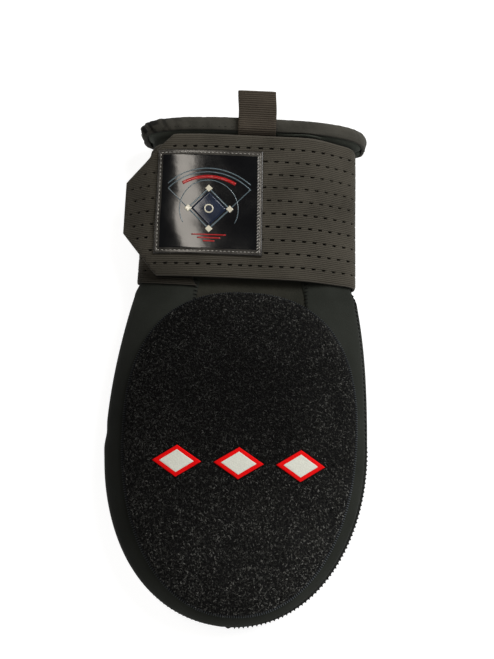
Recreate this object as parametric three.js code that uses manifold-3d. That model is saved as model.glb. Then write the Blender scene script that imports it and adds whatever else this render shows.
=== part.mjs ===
// A baseball sliding mitt, lying on its back: a padded neoprene bag for one hand, with a fuzzy patch
// over the fingers, a wide elastic strap wound round the wrist and a webbing tab at the cuff.
// Millimetres. +Y points to the cuff, +Z up, +X to the right as seen from above.

import * as THREE from 'three';
import { mergeVertices } from 'three/addons/utils/BufferGeometryUtils.js';
import Module from 'manifold-3d';

const wasm = await Module();
wasm.setup();

// Plan of the mitt. Stations along it are distances from the fingertips.
const mittLength = 268.3;
const tipLength = 92.1;
const handWidth = 139.2;
const heelWidth = 122.8;
const wristWidth = 116.5;
const strapTopWidth = 114.2;
const cuffWidth = 125.8;
const shoulderLength = 9;

// How far the middle of the bag is to the right at each of its sections, because it isn't quite straight
const handShift = -1;
const heelShift = 0.7;
const wristShift = 0.6;
const strapTopShift = 0.1;
const cuffShift = 0.6;

// Heights of the front of the bag above the surface that it lies on
const handHeight = 30.4;
const heelHeight = 26.5;
const wristHeight = 24.1;
const strapTopHeight = 32;
const cuffHeight = 36.8;
const seamHeight = 13;
const tipSeamHeight = 11;
const restingTrim = 0.8;

// Walls and clearances
const wallThickness = 3.5;
const gap = 0.3;
const patchGap = 0.4;

// Cuff hem, a binding folded over the edge of the mouth
const hemThickness = 1.6;
const hemHeight = 7.7;

// Wrist strap: perforated elastic, sewn on left of the gusset, once and a third round the wrist
const strapWidth = 78.1;
const strapThickness = 1.6;
const strapToHem = 3;
const strapRootX = -29;
const strapRootDrop = 4.2;
const strapDropEndAngle = 230;
const strapRiseStartX = 50;
const strapRiseEndX = 19;
const strapLeavingShare = 0.92;
const strapFreeLength = 13.5;
const strapUpperCut = 23.6;
const strapLowerCut = 25.7;
const strapUpperChamfer = 27;
const strapLowerChamfer = 20;

// Hook pad between the strap's two layers
const hookPadThickness = 1.8;
const hookPadInset = 6;
const hookPadWidth = 20;

// Stretch gusset in the front of the wrist
const gussetWidth = 59;
const gussetCentreX = 3.2;
const gussetBelowPatchEdge = 9;
const gussetLength = 68;
const gussetThickness = 2.4;
const gussetRecess = 0.8;

// Fuzzy patch over the hand, an egg with a flatter upper end
const patchWidth = 121.4;
const patchLength = 165.7;
const patchLowerLength = 94.5;
const patchTipMargin = 6.1;
const patchCentreX = 0.7;
const patchLowerPower = 2.15;
const patchUpperPower = 2.4;
const patchThickness = 2.6;

// Printed diamonds on the fuzzy patch
const diamondCount = 3;
const diamondWidth = 25;
const diamondHeight = 16;
const diamondPitch = 31;
const diamondStation = 81.6;
const diamondThickness = 0.5;

// Glossy square patch on the strap
const badgeSize = 57;
const badgeThickness = 1;
const badgeCentreX = -21.5;
const badgeToStrapEdge = 9.3;

// Pull tab: webbing folded back on itself over the hem
const tabWidth = 20.6;
const tabCentreX = 2.7;
const tabPlyThickness = 0.8;
const tabPlyGap = 0.2;
const tabReach = 12.2;
const tabRootLength = 12;
const tabRise = 2.6;
const tabFoldBulge = 0.5;
const tabGap = 0.36;

// The tab's way up the flare: share of the way from the strap to the hem, and share of the rise
const tabOnFlare = [
  { place: 0.25, rise: 0.05 },
  { place: 0.55, rise: 0.32 },
  { place: 0.8, rise: 0.68 },
  { place: 1.1, rise: 1 },
];
const tabPastHemFoot = 0.8;
const tabRootBend = 1 / 3;

// Shape of the cross section: two halves of a superellipse, the power sets how square each half is
const handPower = 2.2;
const wristPower = 3.2;
const strapTopPower = 3.5;
const cuffPower = 2.9;
const backPower = 2.6;
const tipFullness = 0.72;
const tipPower = 2.12;

// Flare of the mouth: the share that rises before the hem, and how far a face moves along it per offset
const flareSteepness = 0.65;
const flareLean = 0.8;

// Seam between the two panels: above the limb on the right, at it on the left
const seamLiftRight = 3;
const seamDropLeft = 1.5;

// Fineness of the faceted surfaces
const ringSides = 48;
const strapEdgeShare = 0.06;

// Derived stations and layers
const mouth = mittLength - gap - hemThickness;
const hemFoot = mittLength - hemHeight;
const strapTop = hemFoot - strapToHem;
const strapBottom = strapTop - strapWidth;
const strapMiddle = (strapTop + strapBottom) / 2;
const shoulderStart = strapBottom - shoulderLength;
const shoulderEnd = strapBottom;
const wristLift = Math.max(strapThickness, hemThickness) + gap;
const hookPadOffset = strapThickness + 2 * gap;
const tabThickness = 2 * tabPlyThickness + tabPlyGap;
const outerStrapOffset = Math.max(hookPadOffset + hookPadThickness, tabThickness + 2 * gap) + gap;
const badgeOffset = strapThickness + gap;
const diamondOffset = patchGap + patchThickness + gap;
const patchFoot = patchTipMargin;
const patchHead = patchFoot + patchLength;
const farAbove = 3 * handHeight;

// One row for each section where the bag changes; easeTo says how it changes on the way to each row
const onFloor = -restingTrim;
const sections = [
  {
    at: tipLength, width: handWidth, shift: handShift,
    top: handHeight, bottom: onFloor, power: handPower,
  },
  {
    at: shoulderStart, width: heelWidth, shift: heelShift,
    top: heelHeight, bottom: onFloor, power: handPower,
  },
  {
    at: shoulderEnd, width: wristWidth, shift: wristShift,
    top: wristHeight, bottom: wristLift, power: wristPower,
  },
  {
    at: strapTop, width: strapTopWidth, shift: strapTopShift,
    top: strapTopHeight, bottom: wristLift, power: strapTopPower,
  },
  {
    at: mouth, width: cuffWidth, shift: cuffShift,
    top: cuffHeight, bottom: wristLift, power: cuffPower,
  },
];
const easeTo = [null, 'late', 'soft', 'even', 'flare'];

const mix = (a, b, t) => a + (b - a) * t;
const clamp = (value, low, high) => Math.min(high, Math.max(low, value));

// The flare rises steeply between the strap and the hem, then little more under the hem
const flareFoot = strapToHem / (mouth - strapTop);
const easing = {
  even: (t) => t,
  late: (t) => t * t,
  soft: (t) => t * t * (3 - 2 * t),
  flare: (t) => mix(t, easing.soft(clamp(t / flareFoot, 0, 1)), flareSteepness),
};
const radians = THREE.MathUtils.degToRad;
const degrees = THREE.MathUtils.radToDeg;

// Cross section at a station, its surface moved outwards by offset
function sectionAt(station, offset) {
  const first = sections[0];
  if (station < first.at) {
    const reach = clamp((first.at - station) / (tipLength + offset), 0, 1);
    const spread = Math.pow(1 - Math.pow(reach, tipPower), 1 / tipPower);
    const fullness = Math.pow(spread, tipFullness);
    return {
      shift: first.shift,
      halfWidth: (first.width / 2 + offset) * spread,
      limb: mix(tipSeamHeight, seamHeight, spread),
      above: (first.top - seamHeight) * fullness + offset * spread,
      below: (seamHeight - first.bottom) * fullness + offset * spread,
      power: first.power,
    };
  }
  const next = sections.findIndex((row) => row.at >= station);
  const upper = next < 0 ? sections.length - 1 : Math.max(next, 1);
  const from = sections[upper - 1];
  const to = sections[upper];
  const ease = easeTo[upper];
  const lean = ease === 'flare' ? offset * flareLean : 0;
  const t = easing[ease](clamp((station + lean - from.at) / (to.at - from.at), 0, 1));
  return {
    shift: mix(from.shift, to.shift, t),
    halfWidth: mix(from.width, to.width, t) / 2 + offset,
    limb: seamHeight,
    above: mix(from.top, to.top, t) - seamHeight + offset,
    below: seamHeight - mix(from.bottom, to.bottom, t) + offset,
    power: mix(from.power, to.power, t),
  };
}

// Point on the bag's skin. The angle is in degrees: 0 at the right limb, 90 at the front, 180 left.
function skinPoint(station, angle, offset) {
  const section = sectionAt(station, offset);
  const across = Math.cos(radians(angle));
  const up = Math.sin(radians(angle));
  const power = up >= 0 ? section.power : backPower;
  const reach = up >= 0 ? section.above : section.below;
  const round = (value) => Math.sign(value) * Math.pow(Math.abs(value), 2 / power);
  const x = section.shift + section.halfWidth * round(across);
  return new THREE.Vector3(x, station, section.limb + reach * round(up));
}

// Angle of the front skin's point at a given x
function angleAtX(station, x, offset) {
  const section = sectionAt(station, offset);
  const fromMiddle = x - section.shift;
  const share = clamp(Math.abs(fromMiddle) / section.halfWidth, 0, 1);
  const across = Math.sign(fromMiddle) * Math.pow(share, section.power / 2);
  return degrees(Math.acos(across));
}

// Point on the front skin straight above a place in the plan
function frontPoint(x, station, offset) {
  return skinPoint(station, angleAtX(station, x, offset), offset);
}

// Closed solid from vertices and triangles, without the triangles that have no area
function solidFrom(points, triangles) {
  const geometry = new THREE.BufferGeometry();
  const numbers = points.flatMap((p) => [p.x, p.y, p.z]);
  geometry.setAttribute('position', new THREE.Float32BufferAttribute(numbers, 3));
  geometry.setIndex(triangles);
  const merged = mergeVertices(geometry, 1e-3);
  const index = Array.from(merged.index.array);
  const kept = [];
  for (let i = 0; i < index.length; i += 3) {
    const [a, b, c] = index.slice(i, i + 3);
    if (a !== b && b !== c && c !== a) kept.push(a, b, c);
  }
  merged.setIndex(signedVolume(merged, kept) < 0 ? kept.reverse() : kept);
  return merged;
}

// Volume enclosed by the triangles, negative where their faces point inwards
function signedVolume(geometry, index) {
  const position = geometry.getAttribute('position');
  const corner = (i) => new THREE.Vector3().fromBufferAttribute(position, index[i]);
  let volume = 0;
  for (let i = 0; i < index.length; i += 3) {
    volume += corner(i).dot(corner(i + 1).cross(corner(i + 2))) / 6;
  }
  return volume;
}

// Solid lofted through rings of the same count, closed at both ends by a fan
function loft(rings) {
  const sides = rings[0].length;
  const points = rings.flat();
  const triangles = [];
  for (let i = 0; i + 1 < rings.length; i += 1) {
    for (let j = 0; j < sides; j += 1) {
      const a = i * sides + j;
      const b = i * sides + (j + 1) % sides;
      triangles.push(a, a + sides, b, b, a + sides, b + sides);
    }
  }
  for (const end of [0, rings.length - 1]) {
    const centre = points.length;
    const middle = new THREE.Vector3();
    rings[end].forEach((p) => middle.addScaledVector(p, 1 / sides));
    points.push(middle);
    for (let j = 0; j < sides; j += 1) {
      const a = end * sides + j;
      const b = end * sides + (j + 1) % sides;
      if (end === 0) triangles.push(centre, a, b);
      else triangles.push(centre, b, a);
    }
  }
  return solidFrom(points, triangles);
}

// Thin solid between an outer and an inner grid of points, with walls round its four edges
function slab(outer, inner) {
  const rows = outer.length;
  const columns = outer[0].length;
  const count = rows * columns;
  const points = [...outer.flat(), ...inner.flat()];
  const at = (i, j) => i * columns + j;
  const triangles = [];
  const quad = (a, b, c, d) => triangles.push(a, b, c, a, c, d);
  for (let i = 0; i + 1 < rows; i += 1) {
    for (let j = 0; j + 1 < columns; j += 1) {
      quad(at(i, j), at(i, j + 1), at(i + 1, j + 1), at(i + 1, j));
      quad(count + at(i, j), count + at(i + 1, j), count + at(i + 1, j + 1), count + at(i, j + 1));
    }
  }
  for (let j = 0; j + 1 < columns; j += 1) {
    quad(at(0, j), count + at(0, j), count + at(0, j + 1), at(0, j + 1));
    quad(at(rows - 1, j), at(rows - 1, j + 1), count + at(rows - 1, j + 1), count + at(rows - 1, j));
  }
  for (let i = 0; i + 1 < rows; i += 1) {
    quad(at(i, 0), at(i + 1, 0), count + at(i + 1, 0), count + at(i, 0));
    const last = at(i, columns - 1);
    const nextLast = at(i + 1, columns - 1);
    quad(last, count + last, count + nextLast, nextLast);
  }
  return solidFrom(points, triangles);
}

function toManifold(geometry) {
  const bare = new THREE.BufferGeometry();
  bare.setAttribute('position', geometry.getAttribute('position'));
  bare.setIndex(geometry.index);
  const merged = mergeVertices(bare, 1e-3);
  return new wasm.Manifold(new wasm.Mesh({
    numProp: 3,
    vertProperties: new Float32Array(merged.getAttribute('position').array),
    triVerts: new Uint32Array(merged.index.array),
  }));
}

function toGeometry(solid) {
  const mesh = solid.getMesh();
  const geometry = new THREE.BufferGeometry();
  geometry.setAttribute('position', new THREE.BufferAttribute(new Float32Array(mesh.vertProperties), 3));
  geometry.setIndex(Array.from(mesh.triVerts));
  return geometry;
}

function evenSteps(from, to, count) {
  return Array.from({ length: count + 1 }, (_, i) => mix(from, to, i / count));
}

const flareStations = evenSteps(strapTop, hemFoot, 4).slice(1);
const hemStations = evenSteps(hemFoot, mouth, 3);

// Stations round the tip at even turns of its ellipse, from its furthest point
function tipStations(offset, count) {
  return evenSteps(0, 90, count).map((turn) => tipLength - (tipLength + offset) * Math.cos(radians(turn)));
}

// Stations of the bag behind the tip, closer where it is pinched under the strap and at the mouth
function bagStations(handSteps, shoulderSteps) {
  return [
    ...evenSteps(tipLength, shoulderStart, handSteps).slice(1),
    ...evenSteps(shoulderStart, shoulderEnd, shoulderSteps).slice(1),
    ...evenSteps(shoulderEnd, strapTop, 2).slice(1),
    ...flareStations,
    ...hemStations.slice(1),
  ];
}

function ring(station, offset) {
  const turns = evenSteps(0, 360, ringSides).slice(0, ringSides);
  return turns.map((angle) => skinPoint(station, angle, offset));
}

// The whole bag as a filled form, its skin moved outwards by offset
function bagForm(offset, steps, pastMouth) {
  const stations = [...tipStations(offset, steps.tip), ...bagStations(steps.hand, steps.shoulder)];
  const rings = stations.map((station) => ring(station, offset));
  if (pastMouth > 0) {
    const last = ring(mouth, offset);
    rings.push(last.map((p) => p.clone().add(new THREE.Vector3(0, pastMouth, 0))));
  }
  return loft(rings);
}

// Closed outline in the plan, raised into a prism
function planPrism(outline, low, high) {
  const shape = new THREE.Shape(outline);
  const prism = new THREE.ExtrudeGeometry(shape, { depth: high - low, bevelEnabled: false });
  prism.translate(0, 0, low);
  prism.deleteAttribute('normal');
  prism.deleteAttribute('uv');
  return mergeVertices(prism, 1e-3);
}

// Everything above or below the seam, which tilts up to the right
function seamBlock(side) {
  const reach = handWidth;
  const slope = (seamLiftRight + seamDropLeft) / handWidth;
  const middle = seamHeight + (seamLiftRight - seamDropLeft) / 2 + side * gap / 2;
  const far = side * farAbove;
  const corners = [
    new THREE.Vector2(-reach, middle - slope * reach),
    new THREE.Vector2(reach, middle + slope * reach),
    new THREE.Vector2(reach, far),
    new THREE.Vector2(-reach, far),
  ];
  const outline = new THREE.Shape(corners);
  const block = new THREE.ExtrudeGeometry(outline, { depth: 2 * mittLength, bevelEnabled: false });
  block.rotateX(Math.PI / 2);
  block.translate(0, 1.5 * mittLength, 0);
  block.deleteAttribute('normal');
  block.deleteAttribute('uv');
  return toManifold(mergeVertices(block, 1e-3));
}

// Rectangle with round corners in the plan, grown by a margin
function gussetOutline(margin) {
  const foot = patchHead - gussetBelowPatchEdge - margin;
  const head = patchHead - gussetBelowPatchEdge + gussetLength + margin;
  const half = gussetWidth / 2 + margin;
  return [
    new THREE.Vector2(gussetCentreX - half, foot),
    new THREE.Vector2(gussetCentreX + half, foot),
    new THREE.Vector2(gussetCentreX + half, head),
    new THREE.Vector2(gussetCentreX - half, head),
  ];
}

const outerForm = toManifold(bagForm(0, { tip: 9, hand: 5, shoulder: 4 }, 0));
const cavityForm = toManifold(bagForm(-wallThickness, { tip: 6, hand: 3, shoulder: 3 }, hemHeight));
const wall = outerForm.subtract(cavityForm);

function makeFrontPanel() {
  const opening = toManifold(planPrism(gussetOutline(gap), seamHeight, farAbove));
  return toGeometry(wall.intersect(seamBlock(1)).subtract(opening));
}

// The back is trimmed flat where the mitt rests on it
function makeBackPanel() {
  const reach = mittLength;
  const corners = [[-reach, -reach], [reach, -reach], [reach, 2 * reach], [-reach, 2 * reach]];
  const outline = corners.map(([x, y]) => new THREE.Vector2(x, y));
  const aboveRest = toManifold(planPrism(outline, 0, farAbove));
  return toGeometry(wall.intersect(seamBlock(-1)).intersect(aboveRest));
}

function makeWristGusset() {
  const steps = { tip: 4, hand: 5, shoulder: 4 };
  const outside = toManifold(bagForm(-gussetRecess, steps, 0));
  const inside = toManifold(bagForm(-gussetRecess - gussetThickness, steps, hemHeight));
  const prism = toManifold(planPrism(gussetOutline(0), seamHeight, farAbove));
  return toGeometry(outside.subtract(inside).intersect(prism));
}

// Half width of the fuzzy patch at a station
function patchHalfWidth(station) {
  const widest = patchFoot + patchLowerLength;
  const half = patchWidth / 2;
  if (station <= widest) {
    const reach = clamp((widest - station) / patchLowerLength, 0, 1);
    return half * Math.pow(1 - Math.pow(reach, patchLowerPower), 1 / patchLowerPower);
  }
  const reach = clamp((station - widest) / (patchHead - widest), 0, 1);
  return half * Math.pow(1 - Math.pow(reach, patchUpperPower), 1 / patchUpperPower);
}

function makeLoopPatch() {
  const widest = patchFoot + patchLowerLength;
  const turns = evenSteps(0, 90, 8).map(radians);
  const lower = turns.map((turn) => widest - patchLowerLength * Math.cos(turn));
  const upper = turns.slice(1).map((turn) => widest + (patchHead - widest) * Math.sin(turn));
  const grid = (offset) => [...lower, ...upper].map((station) => evenSteps(-90, 90, 18).map((turn) => {
    const x = patchCentreX + patchHalfWidth(station) * Math.sin(radians(turn));
    return frontPoint(x, station, offset);
  }));
  return slab(grid(patchGap + patchThickness), grid(patchGap));
}

function makeDiamond(place) {
  const centreX = patchCentreX + (place - (diamondCount - 1) / 2) * diamondPitch;
  const grid = (offset) => evenSteps(-1, 1, 6).map((along) => evenSteps(-1, 1, 4).map((across) => {
    const half = (1 - Math.abs(along)) * diamondWidth / 2;
    return frontPoint(centreX + across * half, diamondStation + along * diamondHeight / 2, offset);
  }));
  return slab(grid(diamondOffset + diamondThickness), grid(diamondOffset));
}

// The hem's section wraps the edge of the mouth, inside and out
function makeCuffBinding() {
  const outside = gap + hemThickness;
  const inside = -wallThickness - gap - hemThickness;
  const round = hemThickness / 2;
  const along = (offset) => hemStations.map((station) => ({ station, offset }));
  const profile = [
    ...along(outside),
    { station: mittLength - round, offset: outside },
    { station: mittLength, offset: outside - 2 * round },
    { station: mittLength, offset: inside + 2 * round },
    { station: mittLength - round, offset: inside },
    ...along(inside).reverse(),
    ...along(inside + hemThickness),
    { station: mouth + gap, offset: inside + hemThickness },
    { station: mouth + gap, offset: gap },
    ...along(gap).reverse(),
  ];
  const points = [];
  for (const { station, offset } of profile) {
    for (const p of ring(Math.min(station, mouth), offset)) {
      points.push(new THREE.Vector3(p.x, station, p.z));
    }
  }
  const triangles = [];
  for (let i = 0; i < profile.length; i += 1) {
    for (let j = 0; j < ringSides; j += 1) {
      const a = i * ringSides + j;
      const b = i * ringSides + (j + 1) % ringSides;
      const c = ((i + 1) % profile.length) * ringSides + j;
      const d = ((i + 1) % profile.length) * ringSides + (j + 1) % ringSides;
      triangles.push(a, c, b, b, c, d);
    }
  }
  return solidFrom(points, triangles);
}

// The strap winds from its root on the front left, down round the back and up over the front again
const strapRootAngle = angleAtX(strapMiddle, strapRootX, gap);
const leavingSection = sectionAt(strapMiddle, outerStrapOffset);
const strapLeavingX = leavingSection.shift - strapLeavingShare * leavingSection.halfWidth;
const strapLeavingAngle = 360 + angleAtX(strapMiddle, strapLeavingX, outerStrapOffset);
const strapRiseStart = 360 + angleAtX(strapMiddle, strapRiseStartX, gap);
const strapRiseEnd = 360 + angleAtX(strapMiddle, strapRiseEndX, gap);

// How far the strap's inner face is from the bag's skin at an angle along its winding
function strapOffset(angle) {
  const t = clamp((angle - strapRiseStart) / (strapRiseEnd - strapRiseStart), 0, 1);
  return mix(gap, outerStrapOffset, easing.soft(t));
}

const strapFlapDirection = skinPoint(strapMiddle, strapLeavingAngle + 1, outerStrapOffset)
  .sub(skinPoint(strapMiddle, strapLeavingAngle - 1, outerStrapOffset)).setY(0).normalize();

// Point on the strap: free is the length past where it leaves the wrist, height is above its inner face
function strapPoint(place, station, height) {
  const p = skinPoint(station, place.angle, strapOffset(place.angle) + height);
  return p.addScaledVector(strapFlapDirection, place.free);
}

// Places along a winding at the bag's own facets, with both ends exact
function windingPlaces(fromAngle, toAngle) {
  const step = 360 / ringSides;
  const places = [{ angle: fromAngle, free: 0 }];
  for (let turn = Math.floor(fromAngle / step) + 1; turn * step < toAngle - step / 6; turn += 1) {
    if (turn * step > fromAngle + step / 6) places.push({ angle: turn * step, free: 0 });
  }
  places.push({ angle: toAngle, free: 0 });
  return places;
}

const frontOfLastTurn = 360 + 90;

// The strap's two edges at a place: dropped from the root to the back, chamfered at the free end
function strapEdges(place, endX) {
  const x = strapPoint(place, strapMiddle, strapThickness).x;
  const fromEnd = place.angle > frontOfLastTurn ? x - endX : wristWidth;
  const upperCut = strapUpperCut * clamp(1 - fromEnd / strapUpperChamfer, 0, 1);
  const lowerCut = strapLowerCut * clamp(1 - fromEnd / strapLowerChamfer, 0, 1);
  const fromRoot = clamp((place.angle - strapRootAngle) / (strapDropEndAngle - strapRootAngle), 0, 1);
  const drop = strapRootDrop * (1 - fromRoot);
  return { low: strapBottom - drop + lowerCut, high: strapTop - drop - upperCut };
}

// Stations across the strap at a place: its edges, and between them the foot and middle of the wrist
function strapRows(place, endX) {
  const { low, high } = strapEdges(place, endX);
  const foot = Math.max(shoulderEnd, mix(low, high, strapEdgeShare));
  const middleOfStrap = Math.max(strapMiddle, mix(low, high, 0.5));
  return [low, foot, middleOfStrap, high];
}

function makeWristStrap() {
  const places = windingPlaces(strapRootAngle, strapLeavingAngle);
  for (const free of evenSteps(0, strapFreeLength, 2).slice(1)) {
    places.push({ angle: strapLeavingAngle, free });
  }
  const endX = strapPoint(places[places.length - 1], strapMiddle, strapThickness).x;
  const rows = [0, 1, 2, 3];
  const grid = (height) => rows.map((row) => places.map((place) => (
    strapPoint(place, strapRows(place, endX)[row], height)
  )));
  return slab(grid(strapThickness), grid(0));
}

// The hook pad lies on the strap's first layer, under the free end
function makeHookPad() {
  const leaving = strapLeavingAngle - 360;
  const from = angleAtX(strapMiddle, skinPoint(strapMiddle, leaving, 0).x + hookPadWidth, 0);
  const stations = evenSteps(strapBottom + hookPadInset, strapTop - strapRootDrop - hookPadInset, 2);
  const grid = (offset) => stations.map((station) => (
    windingPlaces(from, leaving).map((place) => skinPoint(station, place.angle, offset))
  ));
  return slab(grid(hookPadOffset + hookPadThickness), grid(hookPadOffset));
}

// The glossy patch follows the strap's outer face, its upper edge near the strap's
function makeGlossPatch() {
  const outside = outerStrapOffset + badgeOffset;
  const rightAngle = 360 + angleAtX(strapMiddle, badgeCentreX + badgeSize / 2, outside);
  const leftAngle = 360 + angleAtX(strapMiddle, badgeCentreX - badgeSize / 2, outside);
  const high = strapTop - badgeToStrapEdge;
  const stations = evenSteps(high - badgeSize, high, 3);
  const grid = (height) => stations.map((station) => (
    windingPlaces(rightAngle, leftAngle).map((place) => strapPoint(place, station, height))
  ));
  return slab(grid(badgeOffset + badgeThickness), grid(badgeOffset));
}

// Height of the front skin over the middle of the tab
const frontTop = (station, offset) => sectionAt(station, offset).limb + sectionAt(station, offset).above;

// The tab's lower face, from its root under the strap, up the flare and over the hem to the fold
function tabCourse() {
  const between = (share) => mix(strapTop, hemFoot, share);
  const onSkin = (station) => [station, frontTop(station, 0) + tabGap];
  const onStrap = frontTop(strapTop, 0) + tabGap;
  const onHem = frontTop(hemFoot, gap + hemThickness) + 2 * tabGap;
  const crest = frontTop(mouth, gap + hemThickness) + 2 * tabGap;
  const points = [
    onSkin(strapTop - tabRootLength),
    onSkin(strapTop - tabRootLength * tabRootBend),
    ...tabOnFlare.map(({ place, rise }) => [between(place), mix(onStrap, onHem, rise)]),
    [between(1 + tabPastHemFoot), onHem + tabGap],
    [mouth, crest],
    [mittLength + hemThickness, crest + tabRise / 2],
    [mittLength + tabReach / 2, crest + tabRise],
    [mittLength + tabReach, crest + tabRise],
  ];
  return points.map(([station, height]) => new THREE.Vector2(station, height));
}

// The course moved square to itself, by more where the plies open towards the fold
function besideCourse(course, distance, opening) {
  return course.map((p, i) => {
    const before = course[Math.max(i - 1, 0)];
    const after = course[Math.min(i + 1, course.length - 1)];
    const along = after.clone().sub(before).normalize();
    const open = opening * clamp((p.x - mittLength) / tabReach, 0, 1);
    return new THREE.Vector2(p.x - along.y * (distance + open), p.y + along.x * (distance + open));
  });
}

// Two plies of webbing, open like a flattened loop, joined at the fold
function makePullTab() {
  const course = tabCourse();
  const last = course[course.length - 1];
  const lowerIn = besideCourse(course, tabPlyThickness, 0);
  const upperIn = besideCourse(course, tabPlyThickness + tabPlyGap, tabFoldBulge);
  const upperOut = besideCourse(course, tabThickness, tabFoldBulge);
  const foldOut = new THREE.Vector2(last.x + tabPlyThickness, last.y + (tabThickness + tabFoldBulge) / 2);
  lowerIn[lowerIn.length - 1].x -= tabPlyThickness / 2;
  upperIn[upperIn.length - 1].x -= tabPlyThickness / 2;
  const corners = [...course, foldOut, ...upperOut.reverse(), ...upperIn, ...lowerIn.reverse()];
  const outline = new THREE.Shape(corners);
  const webbing = new THREE.ExtrudeGeometry(outline, { depth: tabWidth, bevelEnabled: false });
  // The outline's axes are length and height: turn them to +Y and +Z, and the width to +X
  const turn = new THREE.Matrix4().makeBasis(
    new THREE.Vector3(0, 1, 0),
    new THREE.Vector3(0, 0, 1),
    new THREE.Vector3(1, 0, 0),
  );
  webbing.applyMatrix4(turn);
  webbing.translate(tabCentreX - tabWidth / 2, 0, 0);
  webbing.deleteAttribute('normal');
  webbing.deleteAttribute('uv');
  return mergeVertices(webbing, 1e-3);
}

const materials = {
  neoprene: new THREE.MeshStandardMaterial({ color: '#2b2d29', roughness: 0.75, metalness: 0 }),
  stretch: new THREE.MeshStandardMaterial({ color: '#20211c', roughness: 0.85, metalness: 0 }),
  loop: new THREE.MeshStandardMaterial({ color: '#16171a', roughness: 0.95, metalness: 0 }),
  hem: new THREE.MeshStandardMaterial({ color: '#3c3a35', roughness: 0.75, metalness: 0 }),
  elastic: new THREE.MeshStandardMaterial({ color: '#3e3c36', roughness: 0.8, metalness: 0 }),
  hook: new THREE.MeshStandardMaterial({ color: '#1c1c1c', roughness: 0.7, metalness: 0 }),
  vinyl: new THREE.MeshStandardMaterial({ color: '#121314', roughness: 0.15, metalness: 0 }),
  webbing: new THREE.MeshStandardMaterial({ color: '#3b3630', roughness: 0.8, metalness: 0 }),
  print: new THREE.MeshStandardMaterial({ color: '#d8d8cc', roughness: 0.5, metalness: 0 }),
};

const pieces = [
  { name: 'front_panel', geometry: makeFrontPanel(), material: materials.neoprene },
  { name: 'back_panel', geometry: makeBackPanel(), material: materials.neoprene },
  { name: 'wrist_gusset', geometry: makeWristGusset(), material: materials.stretch },
  { name: 'loop_patch', geometry: makeLoopPatch(), material: materials.loop },
  { name: 'cuff_binding', geometry: makeCuffBinding(), material: materials.hem },
  { name: 'wrist_strap', geometry: makeWristStrap(), material: materials.elastic },
  { name: 'hook_pad', geometry: makeHookPad(), material: materials.hook },
  { name: 'gloss_patch', geometry: makeGlossPatch(), material: materials.vinyl },
  { name: 'pull_tab', geometry: makePullTab(), material: materials.webbing },
];
for (let i = 0; i < diamondCount; i += 1) {
  pieces.push({ name: `patch_diamond_${i + 1}`, geometry: makeDiamond(i), material: materials.print });
}

const mitt = new THREE.Group();
mitt.name = 'sliding_mitt';
for (const { name, geometry, material } of pieces) {
  const mesh = new THREE.Mesh(geometry, material);
  mesh.name = name;
  mitt.add(mesh);
}

// The origin is under the middle of the mitt, on the surface that it lies on
const extent = new THREE.Box3().setFromObject(mitt);
const middle = extent.getCenter(new THREE.Vector3());
mitt.position.set(-middle.x, -middle.y, -extent.min.z);

export default mitt;
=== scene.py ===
import math
from collections import namedtuple

import bmesh
import bpy
import numpy as np
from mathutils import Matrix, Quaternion, Vector


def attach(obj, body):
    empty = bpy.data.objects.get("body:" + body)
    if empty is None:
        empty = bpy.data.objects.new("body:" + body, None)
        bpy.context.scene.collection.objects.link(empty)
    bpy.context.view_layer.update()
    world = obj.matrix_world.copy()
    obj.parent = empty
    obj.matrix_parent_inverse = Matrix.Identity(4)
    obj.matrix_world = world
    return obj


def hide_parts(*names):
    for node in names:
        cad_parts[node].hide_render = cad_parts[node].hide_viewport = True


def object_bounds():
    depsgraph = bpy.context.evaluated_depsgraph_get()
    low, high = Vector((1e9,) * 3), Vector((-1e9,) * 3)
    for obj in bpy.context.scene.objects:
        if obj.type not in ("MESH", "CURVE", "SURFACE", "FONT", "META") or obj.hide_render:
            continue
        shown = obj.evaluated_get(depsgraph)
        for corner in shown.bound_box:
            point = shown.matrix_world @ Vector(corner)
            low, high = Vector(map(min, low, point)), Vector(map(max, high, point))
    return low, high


# A baseball sliding mitt lying on its back. Sizes are in millimetres, as in the part's source, and the
# stations along the mitt are distances from the fingertips. The angle round the bag is in degrees: 0 at
# the right limb, 90 at the front, 180 at the left limb, 270 at the back.

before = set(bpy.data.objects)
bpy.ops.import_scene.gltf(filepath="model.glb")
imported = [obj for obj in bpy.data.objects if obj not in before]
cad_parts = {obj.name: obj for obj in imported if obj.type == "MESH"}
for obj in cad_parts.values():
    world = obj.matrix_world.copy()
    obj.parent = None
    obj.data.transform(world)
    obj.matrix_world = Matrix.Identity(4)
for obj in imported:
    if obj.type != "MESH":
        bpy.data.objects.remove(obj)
cad_low, cad_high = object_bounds()

MM = 0.001

# Plan of the mitt
MITT_LENGTH = 268.3
TIP_LENGTH = 92.1
HAND_WIDTH = 139.2
HEEL_WIDTH = 122.8
WRIST_WIDTH = 116.5
STRAP_TOP_WIDTH = 114.2
CUFF_WIDTH = 125.8
SHOULDER_LENGTH = 9

# How far the middle of the bag is to the right at each of its sections
HAND_SHIFT = -1
HEEL_SHIFT = 0.7
WRIST_SHIFT = 0.6
STRAP_TOP_SHIFT = 0.1
CUFF_SHIFT = 0.6

# Heights of the front of the bag above the floor
HAND_HEIGHT = 30.4
HEEL_HEIGHT = 26.5
WRIST_HEIGHT = 24.1
STRAP_TOP_HEIGHT = 32
CUFF_HEIGHT = 36.8
SEAM_HEIGHT = 13
TIP_SEAM_HEIGHT = 11
RESTING_TRIM = 0.8

# Walls and clearances
WALL = 3.5
GAP = 0.3
PATCH_GAP = 0.4

# Cuff hem
HEM_THICKNESS = 1.6
HEM_HEIGHT = 7.7

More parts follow.
